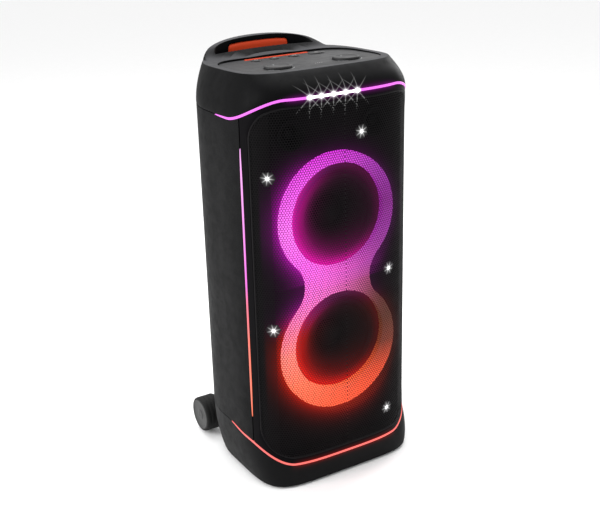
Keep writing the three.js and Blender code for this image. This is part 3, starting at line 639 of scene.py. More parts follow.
def star_rays(x, y, z, level):
    """Short rays and a soft haze round each point light."""
    total = None
    for k, (sx, sy, sz, (tx, ty)) in enumerate(STARS):
        u = (x - sx) * tx + (y - sy) * ty
        ray = sparkle(u, z - sz, 0.6 + 0.5 * k, 8, 2.1, 0.6, 15.5, level)
        haze = ((u * u + (z - sz) * (z - sz)).math("SQRT") * (-1 / STAR_HAZE)).math("EXPONENT") * 0.3
        total = ray + haze if total is None else total + ray + haze
    return total


def add_white(tree, colour, strength):
    """White light on top of a colour."""
    return blend_colour(tree, strength.math("MINIMUM", 1.0), colour, (2.4, 2.4, 2.4, 1.0), "ADD")


def strip_glow(tree, y, z, level):
    """Light of the strips on the surface beside them."""
    front = -y.rise(-187.0, -178.0) + 1.0
    top = ((z - SEAM_TOP_FRONT).math("ABSOLUTE") * (-1 / 3.0)).math("EXPONENT") * front
    low = ((z - SEAM_BASE_FRONT).math("ABSOLUTE") * (-1 / 3.0)).math("EXPONENT") * front
    upper = blend_colour(tree, top * level, BLACK, linear("#b010b0"))
    return blend_colour(tree, low * level, upper, linear("#c01808"))


def add_strobes(m, level):
    """Rays of the strobes, and the glow of the strips, on a plain surface."""
    tree = m.node_tree
    shader = tree.nodes["Principled BSDF"]
    (x, y, z), _ = place(tree)
    glow = strip_glow(tree, y, z, 0.7)
    front = -y.rise(-138.0, -128.0) + 1.0
    emit(tree, shader, add_white(tree, glow, strobe_rays(x, y, z, level) * front), 1.0)
    return m


def add_halo(m, level, rays=0.0, webs=0.0, depth=(143.0, 149.0)):
    """Ring light that falls on a dark surface behind or on the grille."""
    tree = m.node_tree
    shader = tree.nodes["Principled BSDF"]
    (x, y, z), _ = place(tree)
    beyond, within = halo(x, z)
    share = (z - x * 0.1).rise(360.0, 440.0)
    outer = blend_colour(tree, share, linear(GLOW_OUT[1]), linear(GLOW_OUT[0]))
    inner = blend_colour(tree, share, linear(GLOW_IN[1]), linear(GLOW_IN[0]))
    outside, inside = ring_distances(x, z)
    colour = blend_colour(tree, inside.rise(-4.0, 1.0), outer, inner)
    lit = (-y).rise(*depth)
    colour = blend_colour(tree, beyond * within * lit * level, BLACK, colour)
    if webs:
        on_ring = (-outside).rise(-6.0, 12.0) * (-inside).rise(-6.0, 12.0)
        colour = blend_colour(tree, on_ring * webs, colour, ring_colour(tree, x, z))
    if rays:
        points = star_rays(x, y, z, rays) + strobe_rays(x, y, z, rays * 0.5)
        colour = add_white(tree, colour, points * (-y.rise(-120.0, -100.0) + 1.0))
    emit(tree, shader, colour, 1.0)
    return m


MAT = {}


def make_materials():
    MAT["shell"] = plastic("shell", "#0c0c0d", 0.55, 0.9, 0.05, 0.82, pitch=4.4, gloss=0.06)
    # The crown's faces that look up carry a painted highlight in #404042.
    crown = plastic("crown", "#060607", 0.5, 0.9, 0.05, 0.85, gloss=0.05, top="#404042")
    MAT["crown"] = add_strobes(crown, 0.17)
    MAT["base"] = add_strobes(plastic("base", "#0b0b0c", 0.5, 0.9, 0.05, 0.85, gloss=0.08), 0.0)
    MAT["deck"] = plastic("deck", "#2f2f30", 0.5, 0.7, 0.05, 0.88, gloss=0.18)
    bezel = plastic("bezel", "#050406", 0.35, 0.6, 0.01, 0.85, spread=0.08, gloss=0.04)
    MAT["bezel"] = add_strobes(bezel, 0.17)
    MAT["mesh"] = add_halo(plastic("mesh", "#0b090b", 0.5, 0.5, 0.01, 0.8, gloss=0.1), 0.4, 0.6, 0.12)
    MAT["baffle"] = add_halo(plastic("baffle", "#080708", 0.8, 1.5, 0.1, gloss=0.05), 1.1)
    MAT["cone"] = add_halo(plastic("cone", "#09090a", 0.7, 1.2, 0.08, gloss=0.05), 1.5, depth=(105.0, 142.0))
    MAT["magnet"] = plastic("magnet", "#070708", 0.6, 1.0, 0.04, gloss=0.03)
    MAT["rubber"] = plastic("rubber", "#131313", 0.8, 0.8, 0.06, gloss=0.2)
    MAT["tyre"] = plastic("tyre", "#121212", 0.7, 0.8, 0.05, gloss=0.25)
    MAT["hub"] = plastic("hub", "#333333", 0.5, 0.7, 0.04, gloss=0.25)
    MAT["knob"] = plastic("knob", "#1a1a1b", 0.42, 0.6, 0.03, gloss=0.3)
    MAT["orange"] = plastic("orange", "#cf3f16", 0.55, 0.7, 0.06, 0.9, gloss=0.25)
    MAT["steel"] = metal("steel", "#8d9095")
    MAT["mark"] = plastic("mark", "#b9bbbd", 0.5, 0.6, 0.01)
    MAT["ring"] = light_panel("ring", 1.75)
    MAT["strip_top"] = strobe_strip("strip_top")
    side = [(0.0, "#ff7a44"), (0.30, "#ff7450"), (0.44, "#f86c84"), (0.52, "#ee66dc"), (1.0, "#f6b0f6")]
    MAT["strip_side"] = strip_light("strip_side", side, 1.15)
    MAT["strip_base"] = strip_light("strip_base", [(0.0, "#ff6a58"), (1.0, "#ff6a58")], 1.15)
    MAT["lamp"] = strip_light("lamp", [(0.0, "#ffffff"), (1.0, "#ffffff")], 6.0)
    MAT["housing"] = plastic("housing", "#070708", 0.6, 0.8, 0.03, gloss=0.03)
    MAT["sign"] = strip_light("sign", [(0.0, "#d8e4da"), (1.0, "#d8e4da")], 0.5)


def light_panel(name, level):
    """The lit diffuser behind the grille."""
    m = plastic(name, "#2a1a2a", 0.5, 0.8, 0.02)
    tree = m.node_tree
    (x, y, z), _ = place(tree)
    emit(tree, tree.nodes["Principled BSDF"], ring_colour(tree, x, z), level)
    return m


def strip_light(name, stops, level):
    """A lit strip whose colour changes with height."""
    m = plastic(name, "#553044", 0.35, 0.8, 0.02)
    tree = m.node_tree
    (x, y, z), _ = place(tree)
    along = (z - SIDE_STRIP_LOW) * (1 / (SIDE_STRIP_HIGH - SIDE_STRIP_LOW))
    emit(tree, tree.nodes["Principled BSDF"], ramp(tree, along, stops), level)
    return m


def strobe_strip(name):
    """The top strip: violet, and white along the strobes."""
    m = plastic(name, "#553055", 0.35, 0.8, 0.02)
    tree = m.node_tree
    (x, y, z), _ = place(tree)
    front = -y.rise(-176.0, -160.0) + 1.0
    white = x.rise(-89.0, -81.0) * (-x.rise(33.0, 41.0) + 1.0) * front
    colour = blend_colour(tree, white, linear("#ee68f0"), (2.4, 2.4, 2.4, 1.0))
    emit(tree, tree.nodes["Principled BSDF"], colour, 1.2)
    return m


# ---- camera, floor and light ----
CAMERA_ANGLES = (-30.59, 20.87, -1.56)  # azimuth, elevation and roll in degrees
CAMERA_TARGET = (0.00233, 0.00185, 0.46376)
CAMERA_BACK = 2.3706
CAMERA_LENS = 62.82


def add_camera():
    azimuth, elevation, roll = (math.radians(v) for v in CAMERA_ANGLES)
    back = Vector(
        (
            math.sin(azimuth) * math.cos(elevation),
            -math.cos(azimuth) * math.cos(elevation),
            math.sin(elevation),
        )
    )
    right = (-back).cross(Vector((0, 0, 1))).normalized()
    up = right.cross(-back)
    across = math.cos(roll) * right + math.sin(roll) * up
    upward = -math.sin(roll) * right + math.cos(roll) * up
    data = bpy.data.cameras.new("camera")
    data.lens = CAMERA_LENS
    data.sensor_width = 36.0
    camera = bpy.data.objects.new("camera", data)
    bpy.context.scene.collection.objects.link(camera)
    turn = Matrix((across, upward, back)).transposed().to_4x4()
    target = Vector(CAMERA_TARGET)
    camera.matrix_world = Matrix.Translation(target + back * CAMERA_BACK) @ turn
    bpy.context.scene.camera = camera


def area_light(name, place_at, aim, size, power):
    data = bpy.data.lights.new(name, "AREA")
    data.shape = "RECTANGLE"
    data.size, data.size_y = size
    data.energy = power
    o = bpy.data.objects.new(name, data)
    bpy.context.scene.collection.objects.link(o)
    o.location = place_at
    o.rotation_euler = (Vector(place_at) - Vector(aim)).to_track_quat("Z", "Y").to_euler()


def add_studio():
    world = bpy.data.worlds.new("studio")
    bpy.context.scene.world = world
    world.use_nodes = True
    sky = world.node_tree.nodes["Background"]
    sky.inputs["Color"].default_value = (1.0, 1.0, 1.0, 1.0)
    sky.inputs["Strength"].default_value = 1.0
    bpy.context.scene.view_settings.view_transform = "Standard"
    mesh = bpy.data.meshes.new("floor")
    reach = 9.0
    mesh.from_pydata(
        [(-reach, -reach, 0), (reach, -reach, 0), (reach, reach, 0), (-reach, reach, 0)], [], [(0, 1, 2, 3)]
    )
    floor = new_object("floor", mesh)
    pale = plastic("pale_floor", "#f6f6f6", 0.7, 3.0, 0.01, 0.99)
    mesh.materials.append(pale)
    area_light("key", (-2.6, 0.2, 1.6), (0, 0, 0.5), (1.4, 2.2), 60)
    area_light("rim", (2.4, 1.0, 1.6), (0, 0, 0.5), (0.8, 2.0), 30)
    area_light("overhead", (0.2, 0.6, 3.2), (0, 0, 0.6), (2.4, 2.4), 60)


add_camera()
add_studio()
make_materials()

PLAIN_SLOTS = (
    *("shell", "deck", "bezel", "mesh", "baffle", "lamp", "orange"),
    *("cone", "magnet", "rubber", "tyre", "steel", "knob", "hub"),
)
SLOT_MATERIALS = {"glow_violet": "ring", "glow_red": "strip_base", **{kind: kind for kind in PLAIN_SLOTS}}


def dress_cad():
    """Every CAD node gets its slot's material."""
    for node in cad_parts.values():
        name = node.data.materials[0].name.split(".")[0] if node.data.materials else "shell"
        kind = SLOT_MATERIALS.get(name, "shell")
        node.data.materials.clear()
        node.data.materials.append(MAT[kind])


# ---- shells ----
def seam_grid(s, n, margin):
    """Columns of n wall points from seam to seam, margin short of each."""
    low, high = base_seam(s) + margin, top_seam(s) - margin
    z = low[:, None] + (high - low)[:, None] * np.linspace(0, 1, n)
    return s[:, None] + 0 * z, z


def make_cabinet():
    s, z = seam_grid(np.linspace(ARC_STRIP + 1.0, 2 * HALF_ARC - ARC_STRIP - 1.0, 220), 10, 0.5)
    o = plate_object("cabinet_wall", wall(s, z), wall(s, z, -7))
    height = (REAR_LOW, REAR_HIGH)
    boolean(o, [round_box("opening", (-REAR_HALF, REAR_HALF), (110, 200), height, 18, "y", 8)])
    soft_edges(o, 1.4, 3, 50)
    finish_piece(o, MAT["shell"], replaces=["cabinet"])


LOOP_H = 740.0


def front_height(s, w):
    """Height of a point w up a front panel that is LOOP_H tall between the margins."""
    low, high = base_seam(s) + MESH_MARGIN, top_seam(s) - MESH_MARGIN
    inside = low + w / LOOP_H * (high - low)
    return np.where(w < 0, low + w, np.where(w > LOOP_H, high + w - LOOP_H, inside))


GRILLE_R = 40.0
FRONT_SIDE = 60
FRONT_CORNER = 16


def front_loop(grow, radius):
    loop = rounded_loop(ARC_MESH + grow, LOOP_H / 2 + grow, radius, FRONT_SIDE, FRONT_CORNER)
    return loop + np.array([0, LOOP_H / 2])


def wall_ring(name, loops):
    """A closed ring swept through (loop, height above the wall) pairs."""
    points = np.array([wall(loop[:, 0], front_height(loop[:, 0], loop[:, 1]), out) for loop, out in loops])
    faces = grid_faces(len(loops), points.shape[1], wrap_i=True, wrap_j=True)
    return new_object(name, mesh_of(name, points.reshape(-1, 3), faces))


def make_bezel():
    inner = front_loop(0, GRILLE_R)
    half_w = ARC_STRIP - 1.0
    outer = rounded_loop(half_w, LOOP_H / 2 + MESH_MARGIN - 0.5, 3, FRONT_SIDE, FRONT_CORNER)
    outer = outer + np.array([0, LOOP_H / 2])
    steps = [(0, -7), (0, -1.2), (0.01, -0.5), (0.05, 0), (0.3, 0), (0.65, 0), (0.97, 0), (1, -0.8), (1, -6)]
    o = wall_ring("bezel_frame", [(lerp(inner, outer, k), out) for k, out in steps])
    finish_piece(o, MAT["bezel"], replaces=["front_bezel"])


# ---- perforated grille: one strut between neighbouring holes, one facet where three meet ----
PITCH = 5.6
HOLE_R = 2.5


def grille_depth(s, w):
    """How far inside the rounded outline of the grille a point is."""
    dx = ARC_MESH - np.abs(s)
    dw = LOOP_H / 2 - np.abs(w - LOOP_H / 2)
    corner = GRILLE_R - np.hypot(np.minimum(dx - GRILLE_R, 0), np.minimum(dw - GRILLE_R, 0))
    return np.where((dx < GRILLE_R) & (dw < GRILLE_R), corner, np.minimum(dx, dw))


def make_grille():
    row_h = PITCH * math.sqrt(3) / 2
    ni, nj = int(2 * ARC_MESH / PITCH) + 2, int(830 / row_h)
    i, j = np.meshgrid(np.arange(ni), np.arange(nj), indexing="ij")
    s = (i - ni / 2 + 0.5 * (j % 2)) * PITCH
    z = 48 + j * row_h
    low, high = base_seam(s) + MESH_MARGIN, top_seam(s) - MESH_MARGIN
    w = np.where(z < low, z - low, np.where(z > high, LOOP_H + z - high, (z - low) / (high - low) * LOOP_H))
    inside = grille_depth(s, w) > 0.8
    turn = np.radians(30 + 60 * np.arange(6))
    corner_s = s[..., None] + HOLE_R * np.cos(turn)
    corner_z = z[..., None] + HOLE_R * np.sin(turn)
    points = wall(corner_s, corner_z, -0.6).reshape(-1, 3)

    def corner(di, dj, k):
        """Point number of corner k of the neighbour at di, dj, or -1 where it has no hole."""
        ii, jj = i + di, j + dj
        ok = (ii >= 0) & (ii < ni) & (jj >= 0) & (jj < nj)
        ii, jj = np.clip(ii, 0, ni - 1), np.clip(jj, 0, nj - 1)
        return np.where(ok & inside[ii, jj] & inside, (ii * nj + jj) * 6 + k, -1)

    odd = j % 2
    right, up_right, up_left = (1, 0), (odd, 1), (odd - 1, 1)
    quads = [
        (corner(0, 0, 5), corner(*right, 3), corner(*right, 2), corner(0, 0, 0)),
        (corner(0, 0, 0), corner(*up_right, 4), corner(*up_right, 3), corner(0, 0, 1)),
        (corner(0, 0, 1), corner(*up_left, 5), corner(*up_left, 4), corner(0, 0, 2)),
    ]
    tris = [
        (corner(0, 0, 0), corner(*right, 2), corner(*up_right, 4)),
        (corner(0, 0, 1), corner(*up_right, 3), corner(*up_left, 5)),
    ]
    faces = []
    for group in (quads, tris):
        for face in group:
            stacked = np.stack([c.reshape(-1) for c in face], axis=-1)
            faces += [tuple(f) for f in stacked[(stacked >= 0).all(axis=1)]]
    # The sheet is closed in front of the point lights. These closed patches carry the painted glow of each
    # point light, its bright core, rays and haze, because the lenses behind do not glow.
    near = np.zeros(inside.shape, bool)
    for sx, sy, sz, _ in STARS:
        near |= np.linalg.norm(wall(s, z, -0.6) - np.array([sx, sy, sz]), axis=-1) < STAR_SEAT
    faces += [tuple(6 * n + k for k in range(6)) for n in np.flatnonzero(inside & near)]
    mesh = bpy.data.meshes.new("grille_sheet")
    used = np.unique(np.concatenate([np.array(f) for f in faces]))
    number = np.full(len(points), -1)
    number[used] = np.arange(len(used))
    mesh.from_pydata(
        [tuple(p) for p in points[used] * MM], [], [tuple(int(number[v]) for v in f) for f in faces]
    )
    o = new_object("grille_sheet", mesh)
    finish_piece(o, MAT["mesh"], replaces=["front_grille"])

    steps = [(-0.4, -3.5), (-0.4, -0.4), (-1.0, -0.1), (-3.6, -0.1), (-4.2, -0.35), (-4.2, -1.6)]
    rim = wall_ring("grille_rim", [(front_loop(grow, GRILLE_R + grow), out) for grow, out in steps])
    finish_piece(rim, MAT["mesh"])


# ---- light strips ----
def capped_sweep(name, rows):
    """A closed bar from lines of points that run along it."""
    points = np.array(rows).transpose(1, 0, 2)
    along, n = points.shape[:2]
    faces = [tuple(f) for f in grid_faces(along, n, wrap_j=True)]
    faces += [tuple(range(n)), tuple(range((along - 1) * n, along * n))]
    return new_object(name, mesh_of(name, points.reshape(-1, 3), faces))


def strip_object(name, centre, half, material, node):
    """A slightly domed bar along a line of (s, z) points with half widths, set into the wall."""
    section = [(-1, -2.5), (-1, 0), (-0.85, 0.45), (-0.4, 0.8), (0.4, 0.8), (0.85, 0.45), (1, 0), (1, -2.5)]
    centre = np.asarray(centre, float)
    along = np.gradient(centre, axis=0)
    along /= np.linalg.norm(along, axis=1)[:, None]
    side = np.stack([-along[:, 1], along[:, 0]], axis=-1)
    rows = []
    for across, out in section:
        p = centre + side * (across * half)[:, None]
        rows.append(wall(p[:, 0], p[:, 1], out))
    finish_piece(capped_sweep(name, rows), material, replaces=[node], sharp=60)


def make_strips():
    s = np.linspace(-ARC_TIP, ARC_TIP, 261)
    half = lerp(0.4, STRIP_HALF - 0.4, np.sqrt(np.clip((ARC_TIP - np.abs(s)) / 60, 0, 1)))
    for tag, seam, slot in (("top", top_seam(s), "glow_violet"), ("base", base_seam(s), "glow_red")):
        line = np.stack([s, seam], -1)
        strip_object("strip_" + tag, line, half, MAT["strip_" + tag], "light_strip_" + tag)
    z = np.linspace(SIDE_STRIP_LOW, SIDE_STRIP_HIGH, 121)
    taper = np.minimum(z - SIDE_STRIP_LOW, SIDE_STRIP_HIGH - z) / 70
    half = lerp(0.5, STRIP_HALF - 0.4, np.sqrt(np.clip(taper, 0, 1)))
    for tag, side in (("left", -1), ("right", 1)):
        line = np.stack([side * ARC_STRIP + 0 * z, z], -1)
        strip_object("strip_" + tag, line, half, MAT["strip_side"], "light_strip_" + tag)


# ---- figure-of-eight light ring ----
WAIST_HALF = 78.0


def waist_fillet():
    """Radius and centre of the round that joins the two discs at the waist on the right side."""
    best = None
    (up_z, up_r), (low_z, low_r) = RING_UP, RING_LOW
    gap = up_z - low_z
    for radius in np.linspace(20, 160, 561):
        reach_up, reach_low = up_r + radius, low_r + radius
        h = (gap * gap + reach_low**2 - reach_up**2) / (2 * gap)
        x = math.sqrt(max(reach_low**2 - h * h, 0.0))
        error = abs(x - radius - WAIST_HALF)
        if best is None or error < best[0]:
            best = (error, radius, x, low_z + h)
    return best[1:]


def ring_outline():
    """Outer outline of the ring, from the foot round to the right, top and left."""
    radius, fx, fz = waist_fillet()
    (up_z, up_r), (low_z, low_r) = RING_UP, RING_LOW
    low = math.atan2(fz - low_z, fx)
    up = math.atan2(fz - up_z, fx)
    right = []
    for a in np.linspace(-math.pi / 2, low, 60):
        right.append((low_r * math.cos(a), low_z + low_r * math.sin(a)))
    for a in np.linspace(math.pi + low, math.pi + up, 24)[1:-1]:
        right.append((fx + radius * math.cos(a), fz + radius * math.sin(a)))
    for a in np.linspace(up, math.pi / 2, 60):
        right.append((up_r * math.cos(a), up_z + up_r * math.sin(a)))
    left = [(-x, z) for x, z in reversed(right[1:-1])]
    return right + left


def circle_points(x, z, r, n=96):
    t = np.linspace(0, 2 * math.pi, n, endpoint=False)
    return [(x + r * math.cos(a), z + r * math.sin(a)) for a in t]


def pierced_plate(name, loops, y_front, y_back, edge=0.8):
    """A flat plate facing the front: outer loop first, then the holes, with a rounded front edge."""
    curve = bpy.data.curves.new(name, "CURVE")
    curve.dimensions = "2D"
    curve.fill_mode = "BOTH"
    curve.extrude = ((y_back - y_front) / 2 - edge) * MM
    curve.bevel_depth = edge * MM
    curve.bevel_resolution = 2
    curve.offset = -edge * MM
    for loop in loops:
        spline = curve.splines.new("POLY")
        spline.points.add(len(loop) - 1)
        for point, (x, z) in zip(spline.points, loop):
            point.co = (x * MM, z * MM, 0, 1)
        spline.use_cyclic_u = True
    o = new_object(name, curve)
    graph = bpy.context.evaluated_depsgraph_get()
    mesh = bpy.data.meshes.new_from_object(o.evaluated_get(graph))
    bpy.data.objects.remove(o)
    turn = Matrix.Rotation(math.pi / 2, 4, "X")
    mesh.transform(Matrix.Translation((0, (y_front + y_back) / 2 * MM, 0)) @ turn)
    bm = bmesh.new()
    bm.from_mesh(mesh)
    bmesh.ops.remove_doubles(bm, verts=bm.verts, dist=1e-6)
    bmesh.ops.recalc_face_normals(bm, faces=bm.faces)
    bm.to_mesh(mesh)
    bm.free()
    return new_object(name, mesh)


def make_ring():
    holes = [circle_points(0, z, RING_IN) for z in RING_HOLES]
    ring = pierced_plate("ring_light", [ring_outline(), *holes], RING_Y, BAFFLE_Y - 0.3)
    finish_piece(ring, MAT["ring"], replaces=["light_ring"])


# ---- top housing and handle ----
def top_surface(x, y):
    rim = RIM_Z - RIM_SLOPE * (y + RIM["f"])
    arch = np.clip(1 - (x / ARCH_HALF) ** 2, 0, None) ** ARCH_POWER
    return rim + (HEIGHT - rim) * arch * ease(96, 154, y)


CROWN_STATIONS = np.linspace(-HALF_ARC, HALF_ARC, 320, endpoint=False)


def crown_object(name):
    """The leaning top of the body, closed below, with the arch at its rear."""
    s = CROWN_STATIONS
    angle = angle_at(s)

    def ring(plan, z_share=None, drop=0.0):
        x, y = plan_point(angle, **plan)
        z = top_surface(x, y) - drop
        if z_share is not None:
            z = lerp(top_seam(s) + 0.5, z, z_share)
        return np.stack([x, y, z], axis=-1)

    def plan_at(k):
        lean = k**1.7
        plan = {c: lerp(BODY[c], RIM[c], lean) for c in "afr"}
        plan.update({c: lerp(BODY[c], RIM[c], k) for c in ("nf", "nr")})
        return plan

    rings = [ring(grown(BODY, -30), 0.0), ring(grown(BODY, -1.2), 0.0), ring(grown(BODY, -0.3), 0.012)]
    rings += [ring(plan_at(k), k * 0.985) for k in np.linspace(0.03, 1, 26)]
    for inset, drop in ((0.8, 0.25), (1.8, 0.05), (3.2, 0.0)):
        rings.append(ring(grown(RIM, -inset), drop=drop))
    for scale in (0.965, 0.94, 0.91, 0.88, 0.85, 0.8, 0.72, 0.6, 0.4, 0.2):
        rings.append(ring({**RIM, **{c: RIM[c] * scale for c in "afr"}}))
    return loft_object(name, rings)


def prism(name, loop, z0, z1):
    """An upright prism over a loop of (x, y) points."""
    loop = np.asarray(loop, float)
    rings = [np.column_stack([loop, np.full(len(loop), z)]) for z in (z0, z1)]
    return loft_object(name, rings)


def slot_loop(grow=0.0):
    x = np.linspace(-SLOT_HALF - grow, SLOT_HALF + grow, 65)
    front = SLOT_FRONT_Y + 3 * (x / SLOT_HALF) ** 2 - grow
    k = np.clip(1 - (x / (SLOT_HALF + grow)) ** 4, 0, None)
    rear = SLOT_FRONT_Y + 3 + SLOT_DEPTH * np.sqrt(k) + grow
    return np.concatenate([np.column_stack([x, front]), np.column_stack([x, rear])[-2:0:-1]])


def panel_z(y):
    return PANEL_FRONT_Z - PANEL_SLOPE * (y - PANEL_FRONT_Y)


PANEL_HALF = 166


def panel_loop(grow):
    """The rounded outline of the control panel."""
    side = PANEL_HALF + grow
    t = np.linspace(-math.pi / 2, math.pi / 2, 61)
    x, y = plan_point(t, side, -PANEL_FRONT_Y + grow, 1, 4.6, 2)
    corner = [(side - 1, 24), (side - 7, 46), (side - 20, 66), (side - 38, 79)]
    corner += [(side - 58, PANEL_REAR_Y - 1), (side - 78, PANEL_REAR_Y)]
    rear = [(a, b + grow) for a, b in corner]
    loop = np.array([*zip(x, np.minimum(y, 0)), *rear, *[(-a, b) for a, b in reversed(rear)]])
    for _ in range(2):
        onward = np.roll(loop, -1, axis=0)
        loop = np.stack([0.75 * loop + 0.25 * onward, 0.25 * loop + 0.75 * onward], axis=1).reshape(-1, 2)
    return loop


def panel_prism(name, grow, below, above):
    loop = panel_loop(grow)
    rings = [np.column_stack([loop, panel_z(loop[:, 1]) + d]) for d in (below, above)]
    return loft_object(name, rings)


TILT = math.atan(PANEL_SLOPE)


def on_panel(o, x, y):
    """Moves a piece made round the origin onto the sloping panel."""
    move = Matrix.Translation((x * MM, y * MM, panel_z(y) * MM))
    o.data.transform(move @ Matrix.Rotation(-TILT, 4, "X"))
    return o


BUTTONS = [
    ("power", -66, 47, 11, 11),
    ("pair", -21, 47, 11, 11),
    ("play", 28, 47, 13, 12),
    ("lights", 84, 47, 20, 12),
]


def oval(rx, ry, n=48):
    t = np.linspace(0, 2 * math.pi, n, endpoint=False)
    return np.column_stack([rx * np.cos(t), ry * np.sin(t)])


def make_top():
    body = crown_object("top_shell")
    cuts = [
        prism("slot", slot_loop(), 858, 980),
        round_box("under", (-SLOT_HALF + 4, SLOT_HALF - 4), (130, 220), (858, BAR_LOW + 1), 10, "y"),
        round_box("handle", (-SLOT_HALF - 6, SLOT_HALF + 6), (140, 240), (BAR_LOW, HEIGHT + 30), 1, "y"),
        panel_prism("deck", 0.0, -5.5, 60),
    ]
    boolean(body, cuts)
    soft_edges(body, 1.3, 3, 40)
    finish_piece(body, MAT["crown"], replaces=["top_housing"])

    bar = crown_object("carry_bar")
    reach = SLOT_HALF + 5.6
    region = round_box("region", (-reach, reach), (140.4, 240), (BAR_LOW + 0.4, HEIGHT + 30), 1, "y")
    boolean(bar, [region], "INTERSECT")
    boolean(bar, [prism("slot", slot_loop(0.2), 858, 980)])
    seat_z = (BAR_LOW - 20, GRIP_HIGH + 1)
    seat = round_box("sleeve", (-GRIP_HALF, GRIP_HALF), (120, GRIP_REAR_Y), seat_z, 12, "y")
    boolean(bar, [seat])
    soft_edges(bar, 1.5, 3, 40)
    finish_piece(bar, MAT["crown"], replaces=["carry_handle"])
    make_grip()


def make_grip():
    """Soft sleeve inside the bar, fuller in the middle, with fine ribs along its front."""
    x = np.linspace(-GRIP_HALF + 0.4, GRIP_HALF - 0.4, 181)
    front = SLOT_FRONT_Y + 2.2 + SLOT_DEPTH * np.sqrt(np.clip(1 - (x / SLOT_HALF) ** 4, 0, None))
    rear = GRIP_REAR_Y - 0.4
    end = np.clip((GRIP_HALF - np.abs(x)) / 9, 0, 1)
    swell = np.sqrt(np.clip(1 - (1 - end) ** 2, 0, 1))
    low, high = GRIP_LOW, GRIP_HIGH + 1.8 - 4.5 * (x / GRIP_HALF) ** 2
    rows = []
    power = 3.4
    for a in np.linspace(0, 2 * math.pi, 48, endpoint=False):
        c, s = math.cos(a), math.sin(a)
        half_h = (high - low) / 2 * lerp(0.6, 1.0, swell)
        half_y = (rear - front) / 2 * lerp(0.5, 1.0, swell)
        yy = np.sign(c) * abs(c) ** (2 / power) * half_y
        zz = np.sign(s) * abs(s) ** (2 / power) * half_h
        rib = 0.1 * np.sin(x * 2 * math.pi / 3.0) * end
        rows.append(np.column_stack([x, (front + rear) / 2 + yy - rib * abs(c), (low + high) / 2 + zz]))
    o = capped_sweep("grip_sleeve", rows)
    finish_piece(o, MAT["orange"], replaces=["handle_grip"], sharp=60)


# ---- control panel ----
def make_deck():
    deck = panel_prism("deck_plate", -0.8, -5, 0)
    cuts = []
    for x in (-DIAL_X, DIAL_X):
        cuts.append(on_panel(drum("seat", DIAL_R + 2, -2.5, 20, "z", segments=96), x, DIAL_Y))
    for _, x, y, rx, ry in BUTTONS:
        cuts.append(on_panel(prism("seat", oval(rx + 0.6, ry + 0.6), -4.2, 20), x, y))
    cuts.append(on_panel(round_box("seat", (-79, 79), (-5.6, 5.6), (-3.4, 20), 4.8, "z"), 0, LINER_Y + 1))
    boolean(deck, cuts)
    soft_edges(deck, 0.5, 2, 40)
    finish_piece(deck, MAT["deck"], replaces=["control_panel"])

    liner = round_box("slot_liner", (-78.5, 78.5), (-5.2, 5.2), (-3.1, 0.9), 4.8, "z")
    boolean(liner, [round_box("groove", (-74, 74), (-1.5, 1.5), (-1.2, 5), 1.4, "z")])
    on_panel(soft_edges(liner, 0.4, 2, 40), 0, LINER_Y + 1)
    finish_piece(liner, MAT["orange"], replaces=["device_slot_liner"])

    for tag, x in (("left", -DIAL_X), ("right", DIAL_X)):
        make_dial(tag, x)
    for tag, x, y, rx, ry in BUTTONS:
        make_button(tag, x, y, rx, ry)


def make_dial(tag, x):
    r = DIAL_R
    profile = [(0, -11), (5, -11), (5, -2), (r, -2), (r + 0.6, 1), (r, 4.6), (r - 2.2, 5.6)]
    profile += [(r - 4.2, 5.2), (r - 6, 4.1), (0, 3.4)]
    dial = lathe_object("dial_" + tag + "_cap", profile, "z", (0, 0, 0), 192, 0.7)
    for v in dial.data.vertices:
        reach = math.hypot(v.co.x, v.co.y) / MM
        if reach > r - 1.0 and v.co.z / MM > -1.5:
            wave = 1 + 0.012 * math.cos(48 * math.atan2(v.co.y, v.co.x))
            v.co.x *= wave
            v.co.y *= wave
    body = "dial_" + tag + "_body"
    finish_piece(on_panel(dial, x, DIAL_Y), MAT["knob"], body, ["dial_" + tag], sharp=50)
    mark = round_box("dial_" + tag + "_mark", (-0.9, 0.9), (r - 13, r - 7), (3.6, 4.15), 0.8, "z")
    finish_piece(on_panel(mark, x, DIAL_Y), MAT["mark"], body)


def make_button(tag, x, y, rx, ry):
    rings = []
    for k, h in ((1, -2.4), (1, 0.9), (0.985, 1.5), (0.94, 2.0), (0.85, 2.3), (0.6, 2.55), (0.25, 2.65)):
        rings.append(np.column_stack([oval(rx * k, ry * k), np.full(48, h)]))
    cap = loft_object("button_" + tag + "_cap", rings)
    body = "button_" + tag + "_body"
    finish_piece(on_panel(cap, x, y), MAT["knob"], body, ["button_" + tag], sharp=50)
    sign = sign_object("button_" + tag + "_sign", SIGNS[tag], 2.5, 2.85)
    finish_piece(on_panel(sign, x, y), MAT["sign"], body, sharp=50)


def arc_band(radius, width, start, end, n=28, centre=(0, 0)):
    """Outline of an arc band, angles in degrees."""
    t = np.radians(np.linspace(start, end, n))
    outer, inner = (
        [(centre[0] + r * math.cos(a), centre[1] + r * math.sin(a)) for a in t]
        for r in (radius + width / 2, radius - width / 2)
    )
    return outer, inner


def bar_band(x0, y0, x1, y1, width):
    """Outline of a straight band between two points."""
    d = np.array([x1 - x0, y1 - y0], float)
    side = np.array([-d[1], d[0]]) / np.linalg.norm(d) * width / 2
    a, b = np.array([x0, y0]), np.array([x1, y1])
    return [tuple(a + side), tuple(b + side)], [tuple(a - side), tuple(b - side)]


